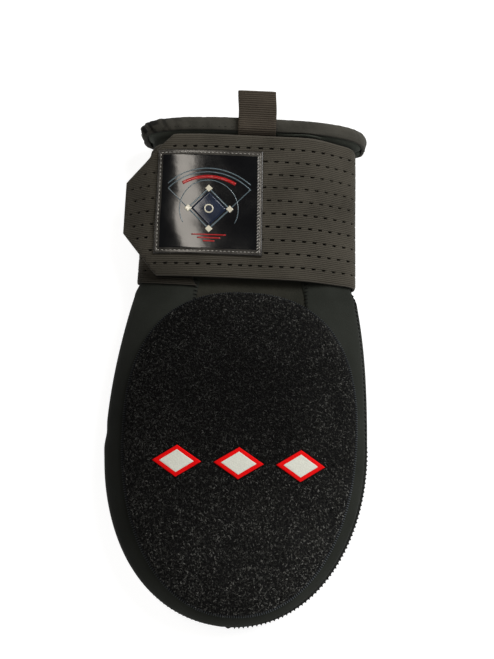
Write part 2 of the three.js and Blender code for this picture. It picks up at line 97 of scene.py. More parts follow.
# Wrist strap
STRAP_WIDTH = 78.1
STRAP_THICKNESS = 1.6
STRAP_TO_HEM = 3
STRAP_ROOT_X = -29
STRAP_ROOT_DROP = 4.2
STRAP_DROP_END_ANGLE = 230
STRAP_RISE_START_X = 50
STRAP_RISE_END_X = 19
STRAP_LEAVING_SHARE = 0.92
STRAP_FREE_LENGTH = 13.5
STRAP_UPPER_CUT = 23.6
STRAP_LOWER_CUT = 25.7
STRAP_UPPER_CHAMFER = 27
STRAP_LOWER_CHAMFER = 20
STRAP_RIB = 1.04

# Hook pad between the strap's layers
HOOK_PAD_THICKNESS = 1.8
HOOK_PAD_INSET = 6
HOOK_PAD_WIDTH = 20

# Stretch gusset in the front of the wrist
GUSSET_WIDTH = 59
GUSSET_CENTRE_X = 3.2
GUSSET_BELOW_PATCH_EDGE = 9
GUSSET_LENGTH = 68
GUSSET_THICKNESS = 2.4
GUSSET_RECESS = 0.8

# Fuzzy patch over the hand
PATCH_WIDTH = 121.4
PATCH_LENGTH = 165.7
PATCH_LOWER_LENGTH = 94.5
PATCH_TIP_MARGIN = 6.1
PATCH_CENTRE_X = 0.7
PATCH_LOWER_POWER = 2.15
PATCH_UPPER_POWER = 2.4
PATCH_THICKNESS = 2.6

# Printed diamonds on the fuzzy patch
DIAMOND_COUNT = 3
DIAMOND_WIDTH = 25
DIAMOND_HEIGHT = 16
DIAMOND_PITCH = 31
DIAMOND_STATION = 81.6
DIAMOND_THICKNESS = 0.5
DIAMOND_BORDER = 1.9

# Glossy square patch on the strap
BADGE_SIZE = 57
BADGE_THICKNESS = 1
BADGE_CENTRE_X = -21.5
BADGE_TO_STRAP_EDGE = 9.3

# Pull tab
TAB_WIDTH = 20.6
TAB_CENTRE_X = 2.7
TAB_PLY_THICKNESS = 0.8
TAB_PLY_GAP = 0.2
TAB_REACH = 12.2
TAB_ROOT_LENGTH = 12
TAB_RISE = 2.6
TAB_GAP = 0.36
TAB_RIB = 1.15

# Shape of the cross section
HAND_POWER = 2.2
WRIST_POWER = 3.2
STRAP_TOP_POWER = 3.5
CUFF_POWER = 2.9
BACK_POWER = 2.6
TIP_FULLNESS = 0.72
TIP_POWER = 2.12
FLARE_STEEPNESS = 0.65
FLARE_LEAN = 0.8
SEAM_LIFT_RIGHT = 3
SEAM_DROP_LEFT = 1.5

# Derived stations and layers
MOUTH = MITT_LENGTH - GAP - HEM_THICKNESS
HEM_FOOT = MITT_LENGTH - HEM_HEIGHT
STRAP_TOP = HEM_FOOT - STRAP_TO_HEM
STRAP_BOTTOM = STRAP_TOP - STRAP_WIDTH
STRAP_MIDDLE = (STRAP_TOP + STRAP_BOTTOM) / 2
WRIST_LIFT = max(STRAP_THICKNESS, HEM_THICKNESS) + GAP
HOOK_PAD_OFFSET = STRAP_THICKNESS + 2 * GAP
TAB_THICKNESS = 2 * TAB_PLY_THICKNESS + TAB_PLY_GAP
OUTER_STRAP_OFFSET = max(HOOK_PAD_OFFSET + HOOK_PAD_THICKNESS, TAB_THICKNESS + 2 * GAP) + GAP
BADGE_OFFSET = STRAP_THICKNESS + GAP
PATCH_FOOT = PATCH_TIP_MARGIN
PATCH_HEAD = PATCH_FOOT + PATCH_LENGTH
GUSSET_FOOT = PATCH_HEAD - GUSSET_BELOW_PATCH_EDGE
GUSSET_HEAD = GUSSET_FOOT + GUSSET_LENGTH
DIAMOND_OFFSET = PATCH_GAP + PATCH_THICKNESS + GAP

# The frame's origin is under the middle of the CAD box
ORIGIN_STATION = MITT_LENGTH + TAB_REACH + TAB_PLY_THICKNESS - cad_high.y / MM
ORIGIN_X = HAND_SHIFT + HAND_WIDTH / 2 - cad_high.x / MM

ON_FLOOR = -RESTING_TRIM
HEEL = STRAP_BOTTOM - SHOULDER_LENGTH
Section = namedtuple("Section", "at width shift top bottom power ease")
SECTIONS = (
    Section(TIP_LENGTH, HAND_WIDTH, HAND_SHIFT, HAND_HEIGHT, ON_FLOOR, HAND_POWER, "even"),
    Section(HEEL, HEEL_WIDTH, HEEL_SHIFT, HEEL_HEIGHT, ON_FLOOR, HAND_POWER, "late"),
    Section(STRAP_BOTTOM, WRIST_WIDTH, WRIST_SHIFT, WRIST_HEIGHT, WRIST_LIFT, WRIST_POWER, "soft"),
    Section(STRAP_TOP, STRAP_TOP_WIDTH, STRAP_TOP_SHIFT, STRAP_TOP_HEIGHT, WRIST_LIFT, STRAP_TOP_POWER,
            "even"),
    Section(MOUTH, CUFF_WIDTH, CUFF_SHIFT, CUFF_HEIGHT, WRIST_LIFT, CUFF_POWER, "flare"),
)
FLARE_FOOT = STRAP_TO_HEM / (MOUTH - STRAP_TOP)


def mix(a, b, t):
    return a + (b - a) * t


def soft(t):
    t = np.clip(t, 0, 1)
    return t * t * (3 - 2 * t)


EASING = {
    "even": lambda t: t,
    "late": lambda t: t * t,
    "soft": soft,
    "flare": lambda t: mix(t, soft(t / FLARE_FOOT), FLARE_STEEPNESS),
}


def bell(distance, reach):
    return np.exp(-(distance / reach) ** 2)


def signed_power(value, power):
    return np.sign(value) * np.abs(value) ** power


def unit(vectors):
    return vectors / np.linalg.norm(vectors, axis=-1, keepdims=True)


def run_along(line):
    """Distance of each point of a line from its start."""
    return np.concatenate([[0], np.cumsum(np.linalg.norm(np.diff(line, axis=0), axis=-1))])


def left_of(line):
    """Unit normals to the left of a line in a plane."""
    ahead = unit(np.gradient(line, axis=0))
    return np.stack([-ahead[:, 1], ahead[:, 0]], -1)


def twice(values):
    """The values of a grid's points, for both of its faces."""
    return np.concatenate([values, values])


Shape = namedtuple("Shape", "shift half limb above below power")


def section_at(station, offset):
    """The cross section: its middle, half width, limb height, reach above and below, and front power."""
    station, offset = np.broadcast_arrays(np.asarray(station, float), np.asarray(offset, float))
    first = SECTIONS[0]
    reach = np.clip((first.at - station) / (TIP_LENGTH + offset), 0, 1)
    spread = (1 - reach ** TIP_POWER) ** (1 / TIP_POWER)
    fullness = spread ** TIP_FULLNESS
    shift = np.full(station.shape, float(first.shift))
    half = (first.width / 2 + offset) * spread
    limb = mix(TIP_SEAM_HEIGHT, SEAM_HEIGHT, spread)
    above = (first.top - SEAM_HEIGHT) * fullness + offset * spread
    below = (SEAM_HEIGHT - first.bottom) * fullness + offset * spread
    power = np.full(station.shape, float(first.power))
    for before, after in zip(SECTIONS, SECTIONS[1:]):
        here = station > before.at
        lean = offset * FLARE_LEAN if after.ease == "flare" else 0
        t = EASING[after.ease](np.clip((station + lean - before.at) / (after.at - before.at), 0, 1))
        shift = np.where(here, mix(before.shift, after.shift, t), shift)
        half = np.where(here, mix(before.width, after.width, t) / 2 + offset, half)
        above = np.where(here, mix(before.top, after.top, t) - SEAM_HEIGHT + offset, above)
        below = np.where(here, SEAM_HEIGHT - mix(before.bottom, after.bottom, t) + offset, below)
        power = np.where(here, mix(before.power, after.power, t), power)
    return Shape(shift, half, limb, above, below, power)


# The skin's extra offsets that the cloth simulation finds, on a grid of stations and angles
SWELL_ROWS = 70
SWELL_COLUMNS = 96
SWELL_STATIONS = np.linspace(4, STRAP_BOTTOM, SWELL_ROWS)
SWELL_ANGLES = np.linspace(0, 360, SWELL_COLUMNS + 1)
swell = np.zeros((SWELL_ROWS, SWELL_COLUMNS + 1))

# Places where the cloth is drawn in or puffs out: station, angle, reach along, reach round, height
CLOTH_PUFFS = (
    (STRAP_TOP - 5, 178, 10, 24, -1.7),
    (HEM_FOOT + 1, 190, 4, 26, -1.4),
    (HEM_FOOT - STRAP_TO_HEM / 2, 72, 1.3, 9, 2.6),
    (96, 180, 4, 24, -0.5),
    (88, 180, 4, 24, 0.3),
)


def swell_at(station, angle):
    """The skin's extra offset: the simulated one, between the points of its grid, and the puffs."""
    start = SWELL_STATIONS[0]
    row = np.clip((station - start) / (STRAP_BOTTOM - start), 0, 1) * (SWELL_ROWS - 1)
    column = np.mod(angle, 360) / 360 * SWELL_COLUMNS
    i = np.minimum(row.astype(int), SWELL_ROWS - 2)
    j = np.minimum(column.astype(int), SWELL_COLUMNS - 1)
    low = mix(swell[i, j], swell[i, j + 1], column - j)
    high = mix(swell[i + 1, j], swell[i + 1, j + 1], column - j)
    total = mix(low, high, row - i)
    for puff_station, puff_angle, along, around, height in CLOTH_PUFFS:
        aside = np.mod(angle - puff_angle + 180, 360) - 180
        total = total + height * bell(station - puff_station, along) * bell(aside, around)
    return total


def skin(station, angle, offset):
    """Points on the bag's surface moved outwards by offset, as an array with x, station and z last."""
    station, angle, offset = np.broadcast_arrays(
        np.asarray(station, float), np.asarray(angle, float), np.asarray(offset, float))
    offset = offset + swell_at(station, angle)
    shape = section_at(station, offset)
    across = np.cos(np.radians(angle))
    up = np.sin(np.radians(angle))
    power = np.where(up >= 0, shape.power, BACK_POWER)
    reach = np.where(up >= 0, shape.above, shape.below)
    x = shape.shift + shape.half * signed_power(across, 2 / power)
    z = shape.limb + reach * signed_power(up, 2 / power)
    return np.stack([x, station, z], -1)


def angle_at_x(station, x, offset):
    """Angle of the front skin's point at a given x."""
    shape = section_at(station, offset)
    from_middle = x - shape.shift
    share = np.clip(np.abs(from_middle) / np.maximum(shape.half, 1e-6), 0, 1)
    across = np.sign(from_middle) * share ** (shape.power / 2)
    return np.degrees(np.arccos(np.clip(across, -1, 1)))


def front_point(x, station, offset):
    return skin(station, angle_at_x(station, x, offset), offset)


def along_bag(base, offset):
    """Station of a row of the bag once its skin is moved by offset: the tip moves out with it."""
    reach = np.clip((TIP_LENGTH - base) / TIP_LENGTH, 0, 1)
    return base - offset * reach


def seam_angle(base, offset, side):
    """Angle of the seam between the panels, side 1 on the right and -1 on the left."""
    station = along_bag(base, offset)
    shape = section_at(station, offset)
    slope = (SEAM_LIFT_RIGHT + SEAM_DROP_LEFT) / HAND_WIDTH
    height = SEAM_HEIGHT + (SEAM_LIFT_RIGHT - SEAM_DROP_LEFT) / 2 + slope * side * shape.half
    rise = height - shape.limb
    share = np.clip(rise / np.maximum(np.where(rise > 0, shape.above, shape.below), 1e-6), -1, 1)
    up = signed_power(share, np.where(rise > 0, shape.power, BACK_POWER) / 2)
    angle = np.degrees(np.arcsin(up))
    return angle if side > 0 else 180 - angle


def ripples(points, wavelength, seed, count=7):
    """Smooth seeded noise from -1 to 1: waves in several directions, points as an array of coordinates."""
    draw = np.random.default_rng(seed)
    total = np.zeros(points.shape[:-1])
    for _ in range(count):
        direction = unit(draw.normal(size=points.shape[-1]))
        length = wavelength * draw.uniform(0.7, 1.5)
        total += np.sin(points @ direction * 2 * math.pi / length + draw.uniform(0, 2 * math.pi))
    return total / count ** 0.5 / 1.5


# Cloth simulation of the hand part, on a copy that is measured in centimetres

SWELL_LIMIT = 1.5
CLOTH_SCALE = 0.1
CLOTH_FRAMES = 20
CLOTH_PRESSURE = 4
CLOTH_SLACK = 0.02
CLOTH_BENDING = 0.1


def held_share(stations, angles):
    """1 where the cloth is sewn down, at the strap, the side seams and the back, and 0 where it is free."""
    right = seam_angle(stations, 0, 1)
    left = seam_angle(stations, 0, -1)
    from_seam = np.minimum(angles - right, left - angles)
    from_strap = (STRAP_BOTTOM - stations) + 0 * angles
    from_tip = stations - SWELL_STATIONS[0] + 0 * angles
    free = soft(from_seam / 8) * soft((from_strap - 2) / 6) * soft(from_tip / 10)
    return 1 - free


def simulate_swell():
    """Blows up a cloth copy of the hand part, and returns how far its points move outwards."""
    stations = SWELL_STATIONS[:, None]
    angles = SWELL_ANGLES[None, :-1]
    start = skin(stations, angles, 0)
    out = unit(skin(stations, angles, 0.5) - skin(stations, angles, -0.5))
    index = np.arange(SWELL_ROWS * SWELL_COLUMNS).reshape(SWELL_ROWS, SWELL_COLUMNS)
    ahead = np.roll(index, -1, 1)
    faces = np.stack([index[:-1], ahead[:-1], ahead[1:], index[1:]], -1).reshape(-1, 4)
    if volume_sign(start.reshape(-1, 3), faces) < 0:
        faces = faces[:, ::-1]
    mesh = bpy.data.meshes.new("cloth_copy")
    mesh.from_pydata((start.reshape(-1, 3) * CLOTH_SCALE).tolist(), [], faces.tolist())
    copy = bpy.data.objects.new("cloth_copy", mesh)
    bpy.context.scene.collection.objects.link(copy)
    held = copy.vertex_groups.new(name="held")
    for number, share in enumerate(held_share(stations, angles).ravel().tolist()):
        held.add([number], share, "REPLACE")
    cloth = copy.modifiers.new("cloth", "CLOTH")
    cloth.settings.quality = 6
    cloth.settings.use_pressure = True
    cloth.settings.uniform_pressure_force = CLOTH_PRESSURE
    cloth.settings.shrink_min = -CLOTH_SLACK
    cloth.settings.bending_stiffness = CLOTH_BENDING
    cloth.settings.effector_weights.gravity = 0
    cloth.settings.vertex_group_mass = "held"
    scene = bpy.context.scene
    for frame_number in range(1, CLOTH_FRAMES + 1):
        scene.frame_set(frame_number)
    blown = copy.evaluated_get(bpy.context.evaluated_depsgraph_get()).data
    ends = np.empty(len(blown.vertices) * 3)
    blown.vertices.foreach_get("co", ends)
    scene.frame_set(1)
    bpy.data.objects.remove(copy)
    bpy.data.meshes.remove(mesh)
    moved = ((ends.reshape(start.shape) / CLOTH_SCALE - start) * out).sum(-1)
    return moved * min(1, SWELL_LIMIT / np.abs(moved).max())


# Building meshes from arrays of points

def to_frame(points):
    """Metres in the row frame, from x, station and z in millimetres."""
    return (points - np.array([ORIGIN_X, ORIGIN_STATION, 0])) * MM


def grid_faces(outer_index, inner_index, kept):
    """Faces of the solid between two grids: both faces of the kept cells and the walls round them."""
    def corners(index):
        return index[:-1, :-1], index[:-1, 1:], index[1:, 1:], index[1:, :-1]

    a, b, c, d = corners(outer_index)
    a2, b2, c2, d2 = corners(inner_index)
    faces = [np.stack([a, b, c, d], -1)[kept], np.stack([a2, d2, c2, b2], -1)[kept]]
    around = np.pad(kept, 1)
    walls = ((around[:-2, 1:-1], (b, a, a2, b2)), (around[2:, 1:-1], (d, c, c2, d2)),
             (around[1:-1, :-2], (a, d, d2, a2)), (around[1:-1, 2:], (c, b, b2, c2)))
    for neighbour, wall in walls:
        faces.append(np.stack(wall, -1)[kept & ~neighbour])
    return np.concatenate([f.reshape(-1, 4) for f in faces])


def solid_between(outer, inner, kept=None):
    """Points and faces of the solid between two grids of the same shape."""
    rows, columns = outer.shape[:2]
    index = np.arange(rows * columns).reshape(rows, columns)
    if kept is None:
        kept = np.ones((rows - 1, columns - 1), bool)
    points = np.concatenate([outer.reshape(-1, 3), inner.reshape(-1, 3)])
    return points, grid_faces(index, index + rows * columns, kept)


def tube_faces(rings, sides, closed):
    """Side faces of a tube through rings of points. If closed, the last ring joins the first."""
    index = np.arange(rings * sides).reshape(rings, sides)
    index = np.concatenate([index, index[:, :1]], 1)
    if closed:
        index = np.concatenate([index, index[:1]], 0)
    faces = np.stack([index[:-1, :-1], index[:-1, 1:], index[1:, 1:], index[1:, :-1]], -1)
    return faces.reshape(-1, 4)


def thin_tubes(rings, sides):
    """Many closed tubes at once, through rings of a centre and two radii with a row for each tube."""
    layers = []
    for centre, wide, high in rings:
        for a in np.arange(sides) * 2 * math.pi / sides:
            layers.append(centre + wide * math.cos(a) + high * math.sin(a))
    last = (len(rings) - 1) * sides
    caps = [[0, i + 1, i, i] for i in range(1, sides - 1)]
    caps += [[last, last + i, last + i + 1, last + i + 1] for i in range(1, sides - 1)]
    faces = np.concatenate([tube_faces(len(rings), sides, closed=False), caps])
    first = len(layers) * np.arange(len(layers[0]))
    return np.stack(layers, 1).reshape(-1, 3), (faces + first[:, None, None]).reshape(-1, 4)


def volume_sign(points, faces):
    a, b, c, d = (points[faces[:, i]] for i in range(4))
    total = np.einsum("ij,ij->", a, np.cross(b, c)) + np.einsum("ij,ij->", a, np.cross(c, d))
    return 1 if total >= 0 else -1


def make_piece(name, shape, materials, slot, *nodes, face_material=None, attributes=None, weld=0.0):
    """Piece from points in millimetres and faces: quads, or triangles that repeat their last corner.

    It rides on the mitt and stands for the CAD nodes named."""
    points, faces = shape[:2]
    if volume_sign(points, faces) < 0:
        faces = faces[:, ::-1]
    corners = [list(dict.fromkeys(f)) for f in faces.tolist()]
    used = [i for i, face in enumerate(corners) if len(face) > 2]
    mesh = bpy.data.meshes.new(name)
    mesh.from_pydata(to_frame(points).tolist(), [], [corners[i] for i in used])
    mesh.polygons.foreach_set("use_smooth", [True] * len(mesh.polygons))
    if face_material is not None:
        mesh.polygons.foreach_set("material_index", np.asarray(face_material)[used].astype(int).tolist())
    for key, values in (attributes or {}).items():
        kind = "FLOAT_VECTOR" if values.ndim == 2 else "FLOAT"
        layer = mesh.attributes.new(key, kind, "POINT")
        layer.data.foreach_set("vector" if values.ndim == 2 else "value", values.astype(float).ravel())
    for material in materials:
        mesh.materials.append(material)
    piece = bpy.data.objects.new(name, mesh)
    bpy.context.scene.collection.objects.link(piece)
    if weld:
        weld_mesh(mesh, weld * MM)
    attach(piece, "root")
    if nodes:
        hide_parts(*nodes)
    return piece


def weld_mesh(mesh, distance):
    """Joins the points that lie on each other and drops the faces that have no area left."""
    shape = bmesh.new()
    shape.from_mesh(mesh)
    bmesh.ops.remove_doubles(shape, verts=shape.verts, dist=distance)
    bmesh.ops.dissolve_degenerate(shape, edges=shape.edges, dist=distance / 2)
    shape.to_mesh(mesh)
    shape.free()


def join_parts(parts):
    """One pair of arrays from several pairs of points and faces, with the part that each face came from."""
    points, faces, source, start = [], [], [], 0
    for number, (part_points, part_faces) in enumerate(parts):
        points.append(part_points)
        faces.append(part_faces + start)
        source.append(np.full(len(part_faces), number))
        start += len(part_points)
    return np.concatenate(points), np.concatenate(faces), np.concatenate(source)


# Materials

def linear(colour):
    """Scene colour of an sRGB colour that is given from 0 to 255."""
    shares = [c / 255 for c in colour]
    return [c / 12.92 if c <= 0.04045 else ((c + 0.055) / 1.055) ** 2.4 for c in shares] + [1]


def add_node(tree, kind, inputs=None, **settings):
    """Node whose inputs are set, or linked where the value is another node's output."""
    node = tree.nodes.new(kind)
    for key, value in settings.items():
        setattr(node, key, value)
    for key, value in (inputs or {}).items():
        if isinstance(value, bpy.types.NodeSocket):
            tree.links.new(value, node.inputs[key])
        else:
            node.inputs[key].default_value = value
    return node


CLOTH_GLOSS = 0.06


def new_material(name, roughness, **sockets):
    material = bpy.data.materials.new(name)
    material.use_nodes = True
    surface = material.node_tree.nodes["Principled BSDF"]
    surface.inputs["Roughness"].default_value = roughness
    surface.inputs["Specular IOR Level"].default_value = CLOTH_GLOSS
    for key, value in sockets.items():
        surface.inputs[key.replace("_", " ")].default_value = value
    return material, material.node_tree, surface


def object_point(tree):
    return add_node(tree, "ShaderNodeTexCoord").outputs["Object"]


def noise(tree, point, size, detail=2.0, roughness=0.5):
    """Noise whose grains are about size millimetres, from 0 to 1."""
    inputs = {"Vector": point, "Scale": 1 / (size * MM), "Detail": detail, "Roughness": roughness}
    return add_node(tree, "ShaderNodeTexNoise", inputs).outputs["Fac"]


def ramp(tree, factor, stops):
    """Colour ramp through (place, colour) stops."""
    node = add_node(tree, "ShaderNodeValToRGB", {"Fac": factor})
    elements = node.color_ramp.elements
    elements.remove(elements[1])
    elements[0].position = stops[0][0]
    elements[0].color = linear(stops[0][1])
    for place, colour in stops[1:]:
        elements.new(place).color = linear(colour)
    return node.outputs["Color"]


def calculate(tree, operation, *values):
    return add_node(tree, "ShaderNodeMath", dict(enumerate(values)), operation=operation).outputs[0]


def attribute(tree, name, output="Fac"):
    return add_node(tree, "ShaderNodeAttribute", attribute_name=name).outputs[output]


def scale_colour(tree, colour, factor):
    inputs = {0: colour, "Scale": factor}
    return add_node(tree, "ShaderNodeVectorMath", inputs, operation="SCALE").outputs[0]


def with_painted_shading(tree, colour):
    """The colour with painted shade where the mesh's shading attribute is above 0, and painted light where it
    is below 0.
    """
    return scale_colour(tree, colour, calculate(tree, "SUBTRACT", 1.0, attribute(tree, "painted_shading")))


def bump(tree, surface, height, depth):
    """Bump of a given depth in millimetres, from a height between 0 and 1."""
    node = add_node(tree, "ShaderNodeBump", {"Height": height, "Distance": depth * MM})
    tree.links.new(node.outputs["Normal"], surface.inputs["Normal"])


def knit_material(name, dark, light, grain, depth, roughness=0.8, sheen=0.03, takes_painted_shading=False):
    """Knitted cloth: fine grain and broad patches. It can take painted shade and painted light over whole
    areas from a mesh attribute.
    """
    material, tree, surface = new_material(name, roughness, Sheen_Weight=sheen, Sheen_Roughness=0.5)
    point = object_point(tree)
    fine = noise(tree, point, grain, 3)
    broad = noise(tree, point, 22, 2)
    shade = calculate(tree, "MULTIPLY_ADD", broad, 0.55, calculate(tree, "MULTIPLY", fine, 0.45))
    colour = ramp(tree, shade, [(0.32, dark), (0.68, light)])
    # Painted shade and painted light from the mesh's shading attribute
    if takes_painted_shading:
        colour = with_painted_shading(tree, colour)
    tree.links.new(colour, surface.inputs["Base Color"])
    bump(tree, surface, fine, depth)
    return material


def woven_material(name, dark, light, rib, thread, depth, edge=None):
    """Ribbed cloth. The cloth attribute holds millimetres along it, across it and to its edge."""
    material, tree, surface = new_material(name, 0.75, Sheen_Weight=0.04, Sheen_Roughness=0.4)
    parts = add_node(tree, "ShaderNodeSeparateXYZ", {"Vector": attribute(tree, "cloth", "Vector")})
    along, across, to_edge = parts.outputs
    point = object_point(tree)

    def wave(distance, pitch):
        turn = calculate(tree, "MULTIPLY", distance, 2 * math.pi / pitch)
        return calculate(tree, "MULTIPLY_ADD", calculate(tree, "SINE", turn), 0.5, 0.5)

    ribs = wave(across, rib)
    threads = wave(along, thread)
    fine = noise(tree, point, 0.45, 2)
    broad = noise(tree, point, 16, 2)
    weave = calculate(tree, "MULTIPLY_ADD", ribs, 0.5, calculate(tree, "MULTIPLY", threads, 0.2))
    weave = calculate(tree, "MULTIPLY_ADD", fine, 0.6, weave)
    shade = calculate(tree, "MULTIPLY_ADD", broad, 0.35, calculate(tree, "MULTIPLY", weave, 0.75))
    colour = ramp(tree, shade, [(0.35, dark), (0.85, light)])
    if edge:
        near = calculate(tree, "LESS_THAN", to_edge, 0.55)
        blend = {"Factor": calculate(tree, "MULTIPLY", near, 0.6), 6: colour, 7: linear(edge)}
        # The lighter selvedge thread is the cloth's own colour; painted shade from the mesh's shading
        # attribute goes over it
        colour = with_painted_shading(tree, add_node(tree, "ShaderNodeMix", blend, data_type="RGBA").outputs[2])
    tree.links.new(colour, surface.inputs["Base Color"])
    bump(tree, surface, weave, depth)
    return material


# Strength of the painted sheen on the fuzzy patch
PAINTED_SHEEN_GAIN = 3.2


def fuzz_material(name, dark, light, speck):
    """Brushed loops: each loop has a shade of its own, and an attribute paints sheen over whole areas,
    lightening them.
    """
    material, tree, surface = new_material(name, 0.8, Sheen_Weight=0.04, Sheen_Roughness=0.35)
    broad = noise(tree, object_point(tree), 24, 2)
    own = calculate(tree, "SUBTRACT", attribute(tree, "shade"), 0.12)
    shade = calculate(tree, "MULTIPLY_ADD", broad, 0.24, own)
    colour = ramp(tree, shade, [(0.08, dark), (0.5, light), (0.95, speck)])
    # Painted sheen: the colour is raised over whole areas
    gain = calculate(tree, "MULTIPLY_ADD", attribute(tree, "painted_sheen"), PAINTED_SHEEN_GAIN, 1.0)
    tree.links.new(scale_colour(tree, colour, gain), surface.inputs["Base Color"])
    return material


def plain_cloth(name, dark, light, size, roughness=0.7):
    """Thread or print: two close shades in a fine grain."""
    material, tree, surface = new_material(name, roughness)
    grain = noise(tree, object_point(tree), size, 2)
    tree.links.new(ramp(tree, grain, [(0.35, dark), (0.65, light)]), surface.inputs["Base Color"])
    bump(tree, surface, grain, size / 4)
    return material


def vinyl_material(name, dark, light, roughness=0.12):
    """Glossy sheet with faint smears in its gloss."""
    material, tree, surface = new_material(name, roughness, Specular_IOR_Level=0.5)
    point = object_point(tree)
    smear = noise(tree, point, 9, 3)
    tree.links.new(ramp(tree, smear, [(0.3, dark), (0.7, light)]), surface.inputs["Base Color"])
    rough = calculate(tree, "MULTIPLY_ADD", smear, roughness, roughness / 2)
    tree.links.new(rough, surface.inputs["Roughness"])
    bump(tree, surface, noise(tree, point, 7, 2), 0.05)
    return material


# The neoprene and the hem take painted shade and painted light from a mesh attribute
NEOPRENE = knit_material("neoprene", (30, 32, 28), (44, 46, 42), 0.5, 0.12, takes_painted_shading=True)
GUSSET = knit_material("gusset_knit", (32, 33, 28), (48, 47, 41), 0.7, 0.25)
HEM = knit_material("hem_binding", (48, 47, 42), (72, 70, 64), 0.45, 0.1, sheen=0.05, takes_painted_shading=True)
PAD = fuzz_material("loop_ground", (2, 2, 2), (12, 12, 12), (22, 22, 21))
LOOPS = fuzz_material("loops", (4, 4, 4), (36, 36, 34), (88, 88, 85))
ELASTIC = woven_material("elastic", (33, 31, 26), (75, 71, 63), STRAP_RIB, 0.55, 0.16, edge=(88, 84, 77))
WEBBING = woven_material("webbing", (32, 28, 24), (76, 69, 60), TAB_RIB, 0.6, 0.18)
HOOKS = plain_cloth("hook_tape", (14, 14, 14), (34, 34, 33), 0.8)
VINYL = vinyl_material("badge_vinyl", (2, 2, 4), (4, 5, 7))
BADGE_PRINTS = [vinyl_material(f"badge_{name}_print", dark, light) for name, dark, light in (
    ("pale", (74, 88, 94), (96, 110, 116)),
    ("white", (196, 190, 170), (212, 206, 186)),
    ("red", (150, 26, 28), (176, 36, 36)),
    ("navy", (18, 26, 42), (26, 36, 56)),
)]
VINYL_RIM = vinyl_material("badge_rim", (36, 34, 31), (66, 63, 58), roughness=0.25)
RIM_THREAD = fuzz_material("rim_thread", (16, 17, 18), (52, 56, 60), (70, 73, 76))
BLACK_THREAD = plain_cloth("black_thread", (12, 12, 12), (30, 30, 29), 0.3)
GREY_THREAD = plain_cloth("grey_thread", (120, 117, 110), (205, 202, 194), 0.5)
WHITE_PRINT = plain_cloth("white_print", (206, 207, 196), (216, 217, 206), 0.7)
RED_PRINT = plain_cloth("red_print", (214, 6, 9), (226, 14, 16), 0.7)


# The bag's two panels

def bag_rows():
    """Rows of the bag from the tip to the mouth, with one on each edge of the gusset's opening."""
    stops = ((GUSSET_FOOT - GAP, 40), (STRAP_BOTTOM, 12), (GUSSET_HEAD + GAP, 20), (STRAP_TOP, 12),
             (HEM_FOOT, 12), (MOUTH, 8))
    rows = [TIP_LENGTH * (1 - np.cos(np.radians(np.linspace(0, 90, 65))))]
    for stop, count in stops:
        rows.append(np.linspace(rows[-1][-1], stop, count)[1:])
    return np.concatenate(rows)


def edge_run(points):
    """Distance of each point of a grid from the nearer end of its row."""
    steps = np.linalg.norm(np.diff(points, axis=1), axis=-1)
    run = np.concatenate([np.zeros((len(points), 1)), np.cumsum(steps, 1)], 1)
    return np.minimum(run, run[:, -1:] - run)


PUCKER_DEPTH = 0.55
SEAM_PINCH = 1.0
SEAM_PINCH_WIDTH = 3.2


def skin_relief(base, points):
    """Soft dents and folds of the neoprene: broad ones over the hand, short ones below the strap."""
    plan = points[..., :2]
    broad = ripples(plan / [1, 1.6], 46, seed=3) * 0.35
    near_strap = np.exp(-np.abs(base - STRAP_BOTTOM) / 11) * (base < STRAP_BOTTOM + 2)
    folds = ripples(plan / [1, 3.0], 15, seed=5) * PUCKER_DEPTH * near_strap
    calm = soft((MOUTH - base) / 12)
    return (broad + folds) * calm * soft(base / 30)


def panel_grids(angle_columns, rows):
    """Outer and inner grids of a panel. Its edges are drawn in at the seam, as a sewn edge is."""
    base = rows[:, None]
    outer_flat = skin(along_bag(base, 0), angle_columns(base, 0), 0)
    pinch = -SEAM_PINCH * (1 - soft(edge_run(outer_flat) / SEAM_PINCH_WIDTH))
    offset = pinch + skin_relief(base, outer_flat)
    outer = skin(along_bag(base, offset), angle_columns(base, 0), offset)
    inner = skin(along_bag(base, -WALL), angle_columns(base, -WALL), -WALL)
    return outer, inner


GUSSET_LEFT = GUSSET_CENTRE_X - GUSSET_WIDTH / 2
GUSSET_RIGHT = GUSSET_CENTRE_X + GUSSET_WIDTH / 2
SIDE_COLUMNS = 26
MIDDLE_COLUMNS = 52
BACK_COLUMNS = 110


def front_columns(base, offset):
    """Angles across the front: from the right seam to the gusset's edges and on to the left seam."""
    station = along_bag(base, offset)
    shape = section_at(station, offset)
    narrowing = np.minimum(1, shape.half / section_at(GUSSET_FOOT, offset).half)
    right = angle_at_x(station, (GUSSET_RIGHT + GAP) * narrowing, offset)
    left = angle_at_x(station, (GUSSET_LEFT - GAP) * narrowing, offset)
    start = seam_angle(base, offset, 1)
    end = seam_angle(base, offset, -1)
    parts = [
        mix(start, right, np.linspace(0, 1, SIDE_COLUMNS + 1)[None, :]),
        mix(right, left, np.linspace(0, 1, MIDDLE_COLUMNS + 1)[None, 1:]),
        mix(left, end, np.linspace(0, 1, SIDE_COLUMNS + 1)[None, 1:]),
    ]
    return np.concatenate(parts, 1)


def back_columns(base, offset):
    start = seam_angle(base, offset, -1)
    end = seam_angle(base, offset, 1) + 360
    return mix(start, end, np.linspace(0, 1, BACK_COLUMNS + 1)[None, :])


# Painted light on the neck between the strap and the hem, which lies in the hem's shadow
NECK_PAINTED_LIGHT = 2.2


